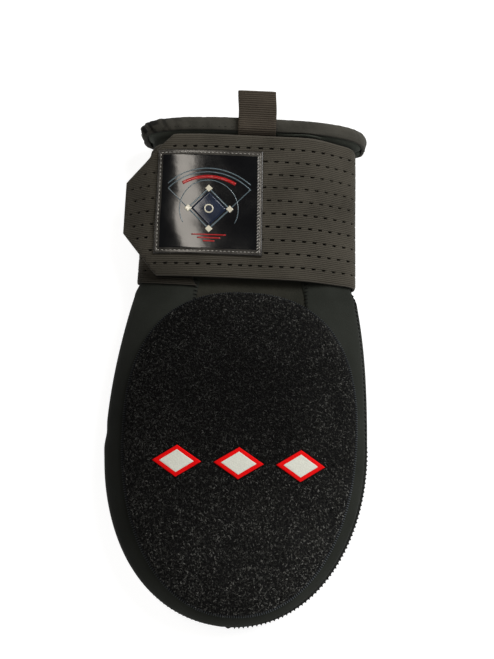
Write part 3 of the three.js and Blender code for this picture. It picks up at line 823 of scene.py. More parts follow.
def make_shell(name, node, shape):
    """Neoprene panel with painted shade down its left side over the hand, and painted light on the shaded
    neck above the strap.
    """
    x, station = shape[0][:, 0], shape[0][:, 1]
    neck = soft((station - STRAP_TOP) / STRAP_TO_HEM)
    left = soft((-x - 25) / 40) * mix(0.3, 1, soft((STRAP_BOTTOM - station) / 60))
    # Painted shade on the left side, and painted light on the neck where the value is below 0
    painted_shading = 0.55 * left * (1 - neck) - NECK_PAINTED_LIGHT * neck
    make_piece(name, shape, [NEOPRENE], "neoprene", node, attributes={"painted_shading": painted_shading}, weld=0.002)


def make_front_shell():
    rows = bag_rows()
    outer, inner = panel_grids(front_columns, rows)
    middle = (rows[1:] + rows[:-1]) / 2
    open_rows = (middle > GUSSET_FOOT - GAP) & (middle < GUSSET_HEAD + GAP)
    column = np.arange(outer.shape[1] - 1)
    open_columns = (column >= SIDE_COLUMNS) & (column < SIDE_COLUMNS + MIDDLE_COLUMNS)
    kept = ~(open_rows[:, None] & open_columns[None, :])
    make_shell("front_shell", "front_panel", solid_between(outer, inner, kept))


def make_back_shell():
    rows = bag_rows()
    outer, inner = panel_grids(back_columns, rows)
    outer[..., 2] = np.maximum(outer[..., 2], 0)
    make_shell("back_shell", "back_panel", solid_between(outer, inner))


def make_gusset():
    """Stretch panel, slack enough to puff a little between its two sewn edges."""
    stations = np.linspace(GUSSET_FOOT, GUSSET_HEAD, 90)[:, None]
    across = np.linspace(-1, 1, 72)[None, :]
    x = GUSSET_CENTRE_X + across * GUSSET_WIDTH / 2 + 0 * stations
    folds = ripples(np.stack([x, stations / 3 + 0 * x], -1), 9, seed=11) * 0.25
    outer_offset = -GUSSET_RECESS + (folds - 0.2) * (1 - across ** 6)
    outer = front_point(x, stations, outer_offset)
    inner = front_point(x, stations, -GUSSET_RECESS - GUSSET_THICKNESS)
    make_piece("gusset_panel", solid_between(outer, inner), [GUSSET], "gusset", "wrist_gusset")


# Fuzzy patch

PATCH_WIDEST = PATCH_FOOT + PATCH_LOWER_LENGTH
PATCH_UPPER_LENGTH = PATCH_HEAD - PATCH_WIDEST


def patch_rows(count):
    """Stations over the patch at even turns of its outline, closest at its two ends."""
    turns = np.radians(np.linspace(0, 90, count))
    return np.concatenate([PATCH_WIDEST - PATCH_LOWER_LENGTH * np.cos(turns),
                           PATCH_WIDEST + PATCH_UPPER_LENGTH * np.sin(turns[1:])])


def patch_half_width(station):
    low = np.clip((PATCH_WIDEST - station) / PATCH_LOWER_LENGTH, 0, 1)
    high = np.clip((station - PATCH_WIDEST) / PATCH_UPPER_LENGTH, 0, 1)
    lower = (1 - low ** PATCH_LOWER_POWER) ** (1 / PATCH_LOWER_POWER)
    upper = (1 - high ** PATCH_UPPER_POWER) ** (1 / PATCH_UPPER_POWER)
    return PATCH_WIDTH / 2 * np.where(station <= PATCH_WIDEST, lower, upper)


def patch_rim(count):
    """Points in the plan, evenly spaced round the patch's rim, and their directions outwards."""
    stations = patch_rows(400)
    half = patch_half_width(stations)
    right = np.stack([PATCH_CENTRE_X + half, stations], -1)
    left = np.stack([PATCH_CENTRE_X - half, stations], -1)[::-1]
    ring = np.concatenate([right, left[1:]])
    run = run_along(ring)
    places = np.linspace(0, run[-1], count, endpoint=False)
    rim = np.stack([np.interp(places, run, ring[:, i]) for i in range(2)], -1)
    ahead = unit(np.roll(rim, -1, 0) - np.roll(rim, 1, 0))
    return rim, np.stack([ahead[:, 1], -ahead[:, 0]], -1)


def distance_to_rim(plan):
    rim, _ = patch_rim(420)
    flat = plan.reshape(-1, 2)
    nearest = np.full(len(flat), 1e9)
    for start in range(0, len(flat), 4000):
        part = flat[start:start + 4000]
        gaps = np.linalg.norm(part[:, None] - rim[None], axis=2)
        nearest[start:start + 4000] = gaps.min(1)
    return nearest.reshape(plan.shape[:-1])


PATCH_RIM_THICKNESS = 1.3
PATCH_RIM_WIDTH = 5.5
PATCH_STITCH_COUNT = 400
PATCH_STITCH_REACH = 0.9


def patch_surface(x, station, to_rim):
    """Offset of the patch's top: pinched at its sewn rim, with shallow lumps."""
    plan = np.stack([x, station + 0 * x], -1)
    lumps = ripples(plan, 17, seed=21) * 0.16 + ripples(plan, 6, seed=22) * 0.07
    full = PATCH_THICKNESS - 0.25 + lumps
    return PATCH_GAP + mix(PATCH_RIM_THICKNESS, full, soft(to_rim / PATCH_RIM_WIDTH) ** 0.8)


def patch_painted_sheen(x, station):
    """Painted sheen: how much light the nap would catch, painted into the colour, from 0 to 1: more towards
    the fingertips and the right.
    """
    down = soft((PATCH_FOOT + 105 - station) / 90)
    head = soft((station - PATCH_HEAD + 45) / 40) * soft((x + 40) / 50)
    return 0.65 * down * mix(0.6, 1, soft((x + 50) / 90)) + 0.35 * soft((x - 5) / 60) + 0.25 * head


def make_patch_pad():
    stations = patch_rows(76)[:, None]
    across = np.sin(np.radians(np.linspace(-90, 90, 120)))[None, :]
    x = PATCH_CENTRE_X + patch_half_width(stations) * across
    plan = np.stack([x, stations + 0 * x], -1)
    outer = front_point(x, stations, patch_surface(x, stations, distance_to_rim(plan)))
    shape = solid_between(outer, front_point(x, stations, PATCH_GAP))
    # Painted sheen over whole areas of the loop ground
    attributes = {"shade": np.full(len(shape[0]), 0.4), "painted_sheen": twice(patch_painted_sheen(x, stations).ravel())}
    piece = make_piece("loop_pad", shape, [PAD], "loop_fabric", "loop_patch",
                       attributes=attributes, weld=0.002)


DIAMOND_CENTRES = [PATCH_CENTRE_X + (place - (DIAMOND_COUNT - 1) / 2) * DIAMOND_PITCH
                   for place in range(DIAMOND_COUNT)]


def in_diamond(x, station, margin):
    """True inside any printed diamond, grown by a margin."""
    inside = np.zeros(x.shape, bool)
    along = np.abs(station - DIAMOND_STATION) / (DIAMOND_HEIGHT / 2 + margin)
    for centre in DIAMOND_CENTRES:
        inside |= np.abs(x - centre) / (DIAMOND_WIDTH / 2 + margin) + along < 1
    return inside


def surface_frame(x, station, offset):
    """Points on the front skin with their unit directions across, along and out."""
    step = 0.2
    point = front_point(x, station, offset)
    across = unit(front_point(x + step, station, offset) - point)
    along = front_point(x, station + step, offset) - point
    out = unit(np.cross(across, along))
    along = np.cross(out, across)
    return point, across, along, out


LOOP_PIECES = 3
LOOPS_EACH = 10000
LOOP_RIM_MARGIN = 1.2
LOOP_DIAMOND_MARGIN = 0.9
LOOP_SUNK = 0.1
LOOP_SIDES = 3

# The least and the most of each size of a loop
LOOP_SPAN = (0.7, 1.4)
LOOP_HEIGHT = (0.35, 0.95)
LOOP_LEAN = (-0.5, 0.5)
LOOP_RADIUS = (0.09, 0.17)


def make_loops(number):
    """Thousands of tiny arched fibres standing on the patch, each a closed thread with three sides."""
    draw = np.random.default_rng(100 + number)
    count = LOOPS_EACH
    tries = int(count * 1.6)
    x = draw.uniform(-PATCH_WIDTH / 2, PATCH_WIDTH / 2, tries) + PATCH_CENTRE_X
    station = draw.uniform(PATCH_FOOT, PATCH_HEAD, tries)
    inside = np.abs(x - PATCH_CENTRE_X) < patch_half_width(station) - LOOP_RIM_MARGIN
    inside &= ~in_diamond(x, station, LOOP_DIAMOND_MARGIN)
    x, station = x[inside][:count], station[inside][:count]

    def each(least, most):
        return draw.uniform(least, most, len(x))[:, None]

    to_rim = distance_to_rim(np.stack([x, station], -1))
    base = patch_surface(x, station, to_rim) - LOOP_SUNK
    point, across, along, out = surface_frame(x, station, base)
    turn = each(0, 2 * math.pi)
    ahead = across * np.cos(turn) + along * np.sin(turn)
    aside = np.cross(out, ahead)
    calm = soft(to_rim / 4)[:, None]
    span = each(*LOOP_SPAN)
    height = each(*LOOP_HEIGHT) * mix(0.45, 1, calm)
    lean = each(*LOOP_LEAN)
    radius = each(*LOOP_RADIUS)
    rings = []
    for place, lift in ((-0.5, 0.0), (0.0, 1.0), (0.5, 0.0)):
        centre = point + ahead * span * place + out * height * lift + aside * lean * lift
        rings.append((centre, aside * radius * 1.5, out * radius))
    shade = draw.beta(1.6, 3.2, len(x))
    points_each = len(rings) * LOOP_SIDES
    # Each loop's own random shade, and painted sheen over whole areas
    attributes = {"shade": np.repeat(shade, points_each),
                  "painted_sheen": np.repeat(patch_painted_sheen(x, station), points_each)}
    make_piece(f"loop_fibres_{number}", thin_tubes(rings, LOOP_SIDES), [LOOPS], "loop_fabric",
               attributes=attributes)


def make_diamond(place):
    """White printed diamond with a red border."""
    def plate(inset, low, high):
        slope = math.hypot(DIAMOND_WIDTH, DIAMOND_HEIGHT)
        share = 1 - inset * 2 * slope / (DIAMOND_WIDTH * DIAMOND_HEIGHT)
        along = np.linspace(-1, 1, 31)[:, None] * share
        across = np.linspace(-1, 1, 21)[None, :]
        x = DIAMOND_CENTRES[place] + across * (share - np.abs(along)) * DIAMOND_WIDTH / 2
        station = DIAMOND_STATION + along * DIAMOND_HEIGHT / 2 + 0 * x
        wave = ripples(np.stack([x, station], -1), 5, seed=31) * 0.05
        edge = 0.18 * (np.abs(across) ** 8)
        return solid_between(front_point(x, station, high + wave - edge), front_point(x, station, low))

    red = plate(0, DIAMOND_OFFSET - 0.2, DIAMOND_OFFSET + DIAMOND_THICKNESS - 0.12)
    white = plate(DIAMOND_BORDER, DIAMOND_OFFSET, DIAMOND_OFFSET + DIAMOND_THICKNESS + 0.03)
    *shape, source = join_parts([red, white])
    make_piece(f"diamond_{place + 1}", shape, [RED_PRINT, WHITE_PRINT], "print",
               f"patch_diamond_{place + 1}", face_material=source, weld=0.001)


# Wrist strap

STRAP_ROOT_ANGLE = float(angle_at_x(STRAP_MIDDLE, STRAP_ROOT_X, GAP))
leaving_shape = section_at(STRAP_MIDDLE, OUTER_STRAP_OFFSET)
STRAP_LEAVING_X = float(leaving_shape.shift - STRAP_LEAVING_SHARE * leaving_shape.half)
STRAP_LEAVING_ANGLE = 360 + float(angle_at_x(STRAP_MIDDLE, STRAP_LEAVING_X, OUTER_STRAP_OFFSET))
STRAP_RISE_START = 360 + float(angle_at_x(STRAP_MIDDLE, STRAP_RISE_START_X, GAP))
STRAP_RISE_END = 360 + float(angle_at_x(STRAP_MIDDLE, STRAP_RISE_END_X, GAP))
FRONT_OF_LAST_TURN = 360 + 90

flap = (skin(STRAP_MIDDLE, STRAP_LEAVING_ANGLE + 1, OUTER_STRAP_OFFSET)
        - skin(STRAP_MIDDLE, STRAP_LEAVING_ANGLE - 1, OUTER_STRAP_OFFSET)) * [1, 0, 1]
STRAP_FLAP_DIRECTION = unit(flap)


def strap_offset(angle):
    t = (angle - STRAP_RISE_START) / (STRAP_RISE_END - STRAP_RISE_START)
    return mix(GAP, OUTER_STRAP_OFFSET, soft(t))


def strap_point(angle, free, station, height):
    point = skin(station, angle, strap_offset(angle) + height)
    free = np.broadcast_to(free, point.shape[:-1])
    return point + free[..., None] * STRAP_FLAP_DIRECTION


STRAP_ANGLES = np.arange(STRAP_ROOT_ANGLE, STRAP_LEAVING_ANGLE, 0.25)
strap_line = strap_point(STRAP_ANGLES, 0, STRAP_MIDDLE, STRAP_THICKNESS)
STRAP_RUN = run_along(strap_line)
STRAP_LENGTH = STRAP_RUN[-1] + STRAP_FREE_LENGTH

HOLE_PITCH = 5.8
HOLE_LENGTH = 2.4
HOLE_ROW_PITCH = 7.15
HOLE_HEIGHT = 1.0
HOLE_START = 1.7
HOLE_ROWS = 10
FIRST_HOLE_ROW = 6.9
HOLE_CLEARANCE = 2.4
RIB_DEPTH = 0.16
STRAP_SQUEEZE = 8
STRAP_SQUEEZE_ANGLE = 176
STRAP_SQUEEZE_REACH = 20
PLY_PITCH = 1.9
PLY_COUNT = 3
PLY_DEPTH = 0.5
# Painted shade along the strap's lower edge: on the base layer under the outer layer, and on the outer layer
# left of the front
STRAP_UNDER_PAINTED_SHADE = 0.6
STRAP_LEFT_PAINTED_SHADE = 0.3


def strap_lines_along():
    """Places along the strap: four for each column of holes, because odd rows are half a pitch on."""
    lines = [0.0, STRAP_LENGTH]
    half = HOLE_PITCH / 2
    columns = int(STRAP_LENGTH / half) + 1
    for column in range(columns):
        start = HOLE_START + column * half
        for place in (start, start + HOLE_LENGTH):
            if 0.3 < place < STRAP_LENGTH - 0.3:
                lines.append(place)
    return np.array(sorted(lines))


def strap_lines_across():
    """Heights above the strap's lower edge, with the mark of each line: 1 on a rib, 0 between ribs."""
    rows = [STRAP_WIDTH - FIRST_HOLE_ROW - HOLE_ROW_PITCH * (HOLE_ROWS - 1 - i) for i in range(HOLE_ROWS)]
    edges = [0.0]
    for row in rows:
        edges += [row - HOLE_HEIGHT / 2, row + HOLE_HEIGHT / 2]
    edges.append(STRAP_WIDTH)
    lines, marks = [0.0], [0.0]
    for number, (low, high) in enumerate(zip(edges, edges[1:])):
        if number % 2:
            steps = 1
        else:
            steps = 2 * round((high - low) / STRAP_RIB)
        for i in range(1, steps + 1):
            lines.append(mix(low, high, i / steps))
            marks.append(float(i % 2 and steps > 1))
    return np.array(lines), np.array(marks), rows


def strap_cuts(run, angle):
    """How much the chamfers take off the lower and upper edge at each place."""
    x = strap_point(angle, np.maximum(0, run - STRAP_RUN[-1]), STRAP_MIDDLE, STRAP_THICKNESS)[:, 0]
    from_end = np.where(angle > FRONT_OF_LAST_TURN, x - x[-1], WRIST_WIDTH)
    lower = STRAP_LOWER_CUT * np.clip(1 - from_end / STRAP_LOWER_CHAMFER, 0, 1)
    upper = STRAP_UPPER_CUT * np.clip(1 - from_end / STRAP_UPPER_CHAMFER, 0, 1)
    return lower, upper


def in_holes(run, across, hole_rows, to_edge):
    """True in the cells of the strap's grid that a hole takes out."""
    middle_run = (run[1:] + run[:-1]) / 2
    middle_across = (across[1:] + across[:-1]) / 2
    clear = (to_edge[:-1, :-1] > HOLE_CLEARANCE) & (to_edge[1:, 1:] > HOLE_CLEARANCE)
    inside = np.zeros(clear.shape, bool)
    for number, row in enumerate(hole_rows):
        in_row = np.abs(middle_across - row) < HOLE_HEIGHT / 2
        shift = (HOLE_PITCH / 2) * (number % 2)
        in_hole = np.mod(middle_run - HOLE_START - shift, HOLE_PITCH) < HOLE_LENGTH
        inside |= in_row[:, None] & in_hole[None, :]
    return inside & clear & (run[:-1] > 2)[None, :]


def make_strap():
    """The whole strap as one perforated ribbed band, twice round the front of the wrist."""
    run = strap_lines_along()
    across, marks, hole_rows = strap_lines_across()
    angle = np.interp(run, STRAP_RUN, STRAP_ANGLES)
    free = np.maximum(0, run - STRAP_RUN[-1])
    lower, upper = strap_cuts(run, angle)
    low = lower[None, :]
    squeeze = STRAP_SQUEEZE * bell(angle - STRAP_SQUEEZE_ANGLE, STRAP_SQUEEZE_REACH)
    high = STRAP_WIDTH - upper[None, :] - squeeze[None, :]
    place = np.clip(across[:, None], low, high)
    from_root = (angle - STRAP_ROOT_ANGLE) / (STRAP_DROP_END_ANGLE - STRAP_ROOT_ANGLE)
    drop = STRAP_ROOT_DROP * (1 - np.clip(from_root, 0, 1))
    station = STRAP_BOTTOM - drop[None, :] + place
    to_edge = np.minimum(np.minimum(place - low, high - place), (STRAP_LENGTH - run)[None, :])
    rounding = 1 - soft(to_edge / 1.1)
    plan = np.stack([np.broadcast_to(run[None, :], place.shape), place], -1)
    sway = ripples(plan, 34, seed=41) * 0.1
    ribs = (marks[:, None] - 0.5) * RIB_DEPTH * (1 - rounding)
    from_low = np.clip(place - low, 0, PLY_PITCH * PLY_COUNT)
    plies = np.cos(2 * math.pi * from_low / PLY_PITCH) * 0.5 - 0.5
    plies = plies * PLY_DEPTH * (1 - np.clip((angle - 150) / 25, 0, 1))[None, :]
    top = STRAP_THICKNESS - 0.1 + ribs - 0.45 * rounding + sway + plies
    outer = strap_point(angle[None, :], free[None, :], station, top)
    inner = strap_point(angle[None, :], free[None, :], station, 0.35 * rounding)
    kept = (place[1:, :-1] - place[:-1, :-1] > 1e-4) | (place[1:, 1:] - place[:-1, 1:] > 1e-4)
    kept &= ~in_holes(run, across, hole_rows, to_edge)
    cloth = np.stack([plan[..., 0], plan[..., 1], to_edge], -1).reshape(-1, 3)
    # Painted shade along the lower edge: where the outer layer shades the base layer, and on the left of the
    # last turn
    under = (angle < STRAP_DROP_END_ANGLE)[None, :] * soft((15 - place) / 12)
    left = soft((angle - 445) / 40)[None, :] * soft((16 - place) / 14)
    painted_shading = (STRAP_UNDER_PAINTED_SHADE * under + STRAP_LEFT_PAINTED_SHADE * left).ravel()
    make_piece("strap_band", solid_between(outer, inner, kept), [ELASTIC], "elastic", "wrist_strap",
               attributes={"cloth": twice(cloth), "painted_shading": twice(painted_shading)}, weld=0.0005)


HOOK_TAPE_MARGIN = 1.5
HOOK_TAPE_THICKNESS = 0.8
HOOK_KNOB = 0.45
HOOK_ROWS = 120
HOOK_COLUMNS = 44
HOOK_FREE_COLUMNS = 28


def make_hook_tape():
    """Hook tape on the strap's underside, from the wrist out to the free end."""
    leaving = STRAP_LEAVING_ANGLE - 360
    start = float(angle_at_x(STRAP_MIDDLE, float(skin(STRAP_MIDDLE, leaving, 0)[0]) + HOOK_PAD_WIDTH, 0))
    beyond = np.linspace(0, STRAP_FREE_LENGTH - HOOK_TAPE_MARGIN, HOOK_FREE_COLUMNS + 1)[1:]
    free = np.concatenate([np.zeros(HOOK_COLUMNS), beyond])
    angle = np.concatenate([np.linspace(start, leaving, HOOK_COLUMNS), np.full(HOOK_FREE_COLUMNS, leaving)])
    run = np.interp(angle + 360, STRAP_ANGLES, STRAP_RUN) + free
    lower, upper = strap_cuts(run, angle + 360)
    low = STRAP_BOTTOM + np.maximum(HOOK_PAD_INSET, lower + HOOK_TAPE_MARGIN)
    high = STRAP_TOP - np.maximum(STRAP_ROOT_DROP + HOOK_PAD_INSET, upper + HOOK_TAPE_MARGIN)
    station = mix(low[None, :], high[None, :], np.linspace(0, 1, HOOK_ROWS)[:, None])
    odd = (np.arange(HOOK_ROWS)[:, None] + np.arange(len(angle))[None, :]) % 2
    knobs = np.where(odd, HOOK_KNOB, 0.0)
    shift = free[None, :, None] * STRAP_FLAP_DIRECTION
    top = HOOK_PAD_OFFSET + HOOK_PAD_THICKNESS
    outer = skin(station, angle[None, :], top) + shift
    bottom = np.where(free > 0, top - HOOK_TAPE_THICKNESS, HOOK_PAD_OFFSET + HOOK_KNOB)[None, :]
    inner = skin(station, angle[None, :], bottom - knobs) + shift
    make_piece("hook_tape", solid_between(outer, inner), [HOOKS], "hook", "hook_pad")


# Glossy patch on the strap

BADGE_HIGH = STRAP_TOP - BADGE_TO_STRAP_EDGE
BADGE_STATION = BADGE_HIGH - BADGE_SIZE / 2
BADGE_RIM = 3.2
BADGE_TAPER = 0.025
BADGE_SKEW = 0.4
BADGE_STITCH_INSET = 1.7
badge_outside = OUTER_STRAP_OFFSET + BADGE_OFFSET


def badge_angle(x):
    return 360 + angle_at_x(STRAP_MIDDLE, x, badge_outside)


def badge_point(across, along, height):
    """Point over the badge: millimetres right of its centre and up from it, and above its lower face."""
    up = np.asarray(along, float) / (BADGE_SIZE / 2)
    across = np.asarray(across, float) * (1 - BADGE_TAPER * up) + BADGE_SKEW * (1 - up)
    angle = badge_angle(BADGE_CENTRE_X + across)
    return strap_point(angle, 0, BADGE_STATION + np.asarray(along, float), BADGE_OFFSET + height)


def badge_swell(across, along):
    """The vinyl swells between its stitches and sinks along them."""
    from_edge = BADGE_SIZE / 2 - np.maximum(np.abs(across), np.abs(along))
    stitch_line = bell(from_edge - BADGE_STITCH_INSET, 0.7)
    rounded = 1 - soft(from_edge / 0.8)
    plan = np.stack(np.broadcast_arrays(across, along), -1)
    return BADGE_THICKNESS - 0.3 * stitch_line - 0.35 * rounded + ripples(plan, 26, seed=51) * 0.12


def make_badge():
    places = np.linspace(-1, 1, 97) * BADGE_SIZE / 2
    across, along = places[None, :] + 0 * places[:, None], places[:, None] + 0 * places[None, :]
    outer = badge_point(across, along, badge_swell(across, along))
    shape = solid_between(outer, badge_point(across, along, 0))
    centre = twice(np.stack([across, along], -1).reshape(-1, 2))[shape[1]].mean(1)
    rim = np.abs(centre).max(1) > BADGE_SIZE / 2 - BADGE_RIM
    make_piece("badge_sheet", shape, [VINYL, VINYL_RIM], "vinyl", "gloss_patch", face_material=rim)


# The badge's print is a ball field seen from above, in millimetres from the badge's centre
PRINT_LIFT = 0.03
PRINT_THICKNESS = 0.05
UPPER_PRINT_LIFT = 0.1
FIELD_HOME = (0, -15)
BASE_REACH = 11
FENCE_RADIUS = 31
FOUL_LINE_REACH = 22
INFIELD_CENTRE = (FIELD_HOME[0], FIELD_HOME[1] + BASE_REACH)
BASES = [(BASE_REACH, INFIELD_CENTRE[1]), (0, FIELD_HOME[1] + 2 * BASE_REACH),
         (-BASE_REACH, INFIELD_CENTRE[1]), FIELD_HOME]

# Pale arcs: centre, radius, start and end in degrees, and the line's width
PALE_ARCS = (
    (FIELD_HOME, FENCE_RADIUS, 45, 135, 0.6),
    (FIELD_HOME, FENCE_RADIUS + 2, 48, 132, 0.6),
    (INFIELD_CENTRE, 15.5, -30, 210, 0.45),
)


def print_line(path, width, lift=PRINT_LIFT):
    """Flat printed line along a path in the badge's plane, as points and faces."""
    aside = left_of(path) * width / 2
    return print_plate(np.stack([path - aside, path, path + aside], 0), lift)


def print_plate(grid, lift):
    across, along = grid[..., 0], grid[..., 1]
    low = badge_swell(across, along) + lift
    return solid_between(badge_point(across, along, low + PRINT_THICKNESS), badge_point(across, along, low))


def print_square(centre, half, lift, steps=7):
    """Printed square that stands on a corner."""
    u, v = np.meshgrid(np.linspace(-1, 1, steps), np.linspace(-1, 1, steps), indexing="ij")
    x = centre[0] + (u - v) * half / 2
    y = centre[1] + (u + v) * half / 2
    return print_plate(np.stack([x, y], -1), lift)


def arc(centre, radius, start, end, steps=48):
    turns = np.radians(np.linspace(start, end, steps))
    return np.stack([centre[0] + radius * np.cos(turns), centre[1] + radius * np.sin(turns)], -1)


def straight(first, second, steps=14):
    return mix(np.array(first, float), np.array(second, float), np.linspace(0, 1, steps)[:, None])


def make_badge_print():
    pale = [print_line(straight(*ends), 0.8) for ends in zip(BASES, BASES[1:] + BASES[:1])]
    for side in (-1, 1):
        corner = (side * FOUL_LINE_REACH, FIELD_HOME[1] + FOUL_LINE_REACH)
        pale.append(print_line(straight((side * BASE_REACH, INFIELD_CENTRE[1]), corner), 0.5))
    pale += [print_line(arc(*place), width) for *place, width in PALE_ARCS]
    white = [print_square(place, 2.0, UPPER_PRINT_LIFT) for place in BASES]
    white.append(print_line(arc(INFIELD_CENTRE, 2.1, 0, 358), 0.7, UPPER_PRINT_LIFT))
    red = [print_line(arc(FIELD_HOME, FENCE_RADIUS - 2.6, 60, 120), 1.7)]
    for row, reach in enumerate((9, 6, 3)):
        y = FIELD_HOME[1] - 3.2 - 1.7 * row
        red.append(print_line(straight((-reach, y), (reach, y)), 0.7))
    navy = [print_square(INFIELD_CENTRE, BASE_REACH - 1.6, PRINT_LIFT, 13)]
    colour_of = np.repeat(range(4), [len(pale), len(white), len(red), len(navy)])
    *shape, source = join_parts(pale + white + red + navy)
    make_piece("badge_print", shape, BADGE_PRINTS, "vinyl", face_material=colour_of[source], weld=0.0001)


# Stitches

def thread_arcs(starts, ends, outs, radius, lift, rings=5):
    """Short arched threads between pairs of points, as points and faces."""
    aside = np.cross(outs, unit(ends - starts))
    courses = []
    for i in range(rings):
        arch = math.sin(math.pi * i / (rings - 1))
        centre = mix(starts, ends, i / (rings - 1)) + outs * lift * arch
        size = radius * mix(0.45, 1, arch)
        courses.append((centre, aside * size, outs * size))
    return thin_tubes(courses, 5)


def make_patch_stitches():
    """Overlock threads over the rim of the fuzzy patch."""
    rim, out_plan = patch_rim(PATCH_STITCH_COUNT)
    inside = rim - out_plan * PATCH_STITCH_REACH
    outside = rim + out_plan * 0.7
    to_rim = np.full(len(inside), PATCH_STITCH_REACH)
    starts = front_point(*inside.T, patch_surface(*inside.T, to_rim) + 0.1)
    ends = front_point(*outside.T, 0.15)
    outs = unit(front_point(*rim.T, PATCH_GAP + 4) - front_point(*rim.T, PATCH_GAP))
    shape = thread_arcs(starts, ends, outs, 0.32, 0.6)
    # Painted light on the rim threads that face the lower right, and painted sheen from the patch
    lit = soft(out_plan @ np.array([0.7, -0.7])) * 0.8 + patch_painted_sheen(*rim.T) * 0.4
    painted_sheen = np.repeat(lit, len(shape[0]) // len(rim))
    attributes = {"shade": np.full(len(painted_sheen), 0.3), "painted_sheen": painted_sheen}
    make_piece("patch_stitches", shape, [RIM_THREAD], "loop_fabric", attributes=attributes)


def seam_places(side, pitch):
    """Evenly spaced rows of the bag along one side seam, from the tip to the strap."""
    rows = bag_rows()
    rows = rows[rows < STRAP_BOTTOM - 2]
    line = skin(along_bag(rows, 0), seam_angle(rows, 0, side), 0)
    run = run_along(line)
    return np.interp(np.arange(1.0, run[-1], pitch), run, rows)


SEAM_STITCH_PITCH = 2.3
SEAM_STITCH_REACH = 1.9
SEAM_STITCH_SUNK = 1.35
SEAM_STITCH_PROUD = 0.6


def make_seam_stitches():
    """Overlock threads across the side seams, round the tip from strap to strap."""
    parts = []
    for side in (1, -1):
        base = seam_places(side, SEAM_STITCH_PITCH)
        middle = skin(along_bag(base, 0), seam_angle(base, 0, side), 0)
        ahead = unit(np.gradient(middle, axis=0))
        out = unit(middle - skin(along_bag(base, -2), seam_angle(base, 0, side), -2))
        aside = np.cross(ahead, out)
        near_tip = soft((TIP_LENGTH + 8 - base) / 12) if side > 0 else 0 * base
        sunk = mix(SEAM_STITCH_SUNK, SEAM_STITCH_PROUD, near_tip)[:, None] * out
        starts = middle - sunk - aside * SEAM_STITCH_REACH + ahead * 0.45
        ends = middle - sunk + aside * SEAM_STITCH_REACH - ahead * 0.45
        parts.append(thread_arcs(starts, ends, out, 0.36, 0.95))
    make_piece("seam_stitches", join_parts(parts), [BLACK_THREAD], "neoprene")


BADGE_STITCH_PITCH = 2.15
BADGE_STITCH_LENGTH = 1.25
ZIGZAG_PITCH = 1.6


def make_badge_stitches():
    """Machine stitches round the vinyl, doubled into a zigzag down its right edge."""
    reach = BADGE_SIZE / 2 - BADGE_STITCH_INSET
    places = np.arange(-reach, reach, BADGE_STITCH_PITCH)
    lines = []
    for side in (-1, 1):
        edge = side * reach + 0 * places
        lines.append((places, edge, places + BADGE_STITCH_LENGTH, edge))
        lines.append((edge, places, edge, places + BADGE_STITCH_LENGTH))
    zigzag = np.arange(-reach, reach - 1, ZIGZAG_PITCH)
    lines.append((reach - 1.4 + 0 * zigzag, zigzag, reach - 0.2 + 0 * zigzag, zigzag + 1.0))
    across_a, along_a, across_b, along_b = (np.concatenate([line[i] for line in lines]) for i in range(4))
    starts = badge_point(across_a, along_a, badge_swell(across_a, along_a))
    ends = badge_point(across_b, along_b, badge_swell(across_b, along_b))
    outs = unit(badge_point(across_a, along_a, 4) - badge_point(across_a, along_a, 0))
    make_piece("badge_stitches", thread_arcs(starts, ends, outs, 0.2, 0.22), [GREY_THREAD], "vinyl")


GUSSET_STITCH_PITCH = 2.1


def make_gusset_stitches():
    """Black stitches along both edges of the stretch gusset."""
    stations = np.arange(GUSSET_FOOT + 1, STRAP_BOTTOM + 8, GUSSET_STITCH_PITCH)
    parts = []
    for x in (GUSSET_LEFT, GUSSET_RIGHT):
        toward = -1 if x > GUSSET_CENTRE_X else 1
        starts = front_point(x + toward * 1.2 + 0 * stations, stations, -GUSSET_RECESS + 0.1)
        ends = front_point(x - toward * 1.1 + 0 * stations, stations + 0.7, 0.15)
        outs = unit(front_point(x + 0 * stations, stations, 4) - front_point(x + 0 * stations, stations, 0))
        parts.append(thread_arcs(starts, ends, outs, 0.26, 0.45))
    make_piece("gusset_stitches", join_parts(parts), [BLACK_THREAD], "gusset")


# Cuff hem

HEM_COLUMNS = 420
HEM_POWER = 3.2
HEM_GROOVE = 1.3
HEM_CRUMPLE_ANGLE = 158
# Middle of the painted shade on the hem's crumpled left end
HEM_SHADED_ANGLE = 152


def hem_profile():
    """Places round the hem's section: station, offset, and how much the binding puffs there."""
    middle = -WALL / 2
    half = WALL / 2 + GAP + HEM_THICKNESS
    turns = np.radians(np.linspace(90, -90, 31))
    station = HEM_FOOT + HEM_HEIGHT * np.abs(np.cos(turns)) ** (2 / HEM_POWER)
    offset = middle + half * signed_power(np.sin(turns), 2 / HEM_POWER)
    puff = np.ones(len(turns))
    outside_foot = [(HEM_FOOT, GAP, 0), (HEM_FOOT - 0.35, GAP + 0.45, 0), (HEM_FOOT - 0.4, GAP + 1.1, 0.3)]
    inside_foot = [(s, -WALL - o, p) for s, o, p in reversed(outside_foot)]
    under = [(MOUTH + GAP / 2, -WALL - GAP, 0), (MOUTH + GAP / 2, GAP, 0)]
    return np.array(outside_foot + list(zip(station, offset, puff)) + inside_foot + under)


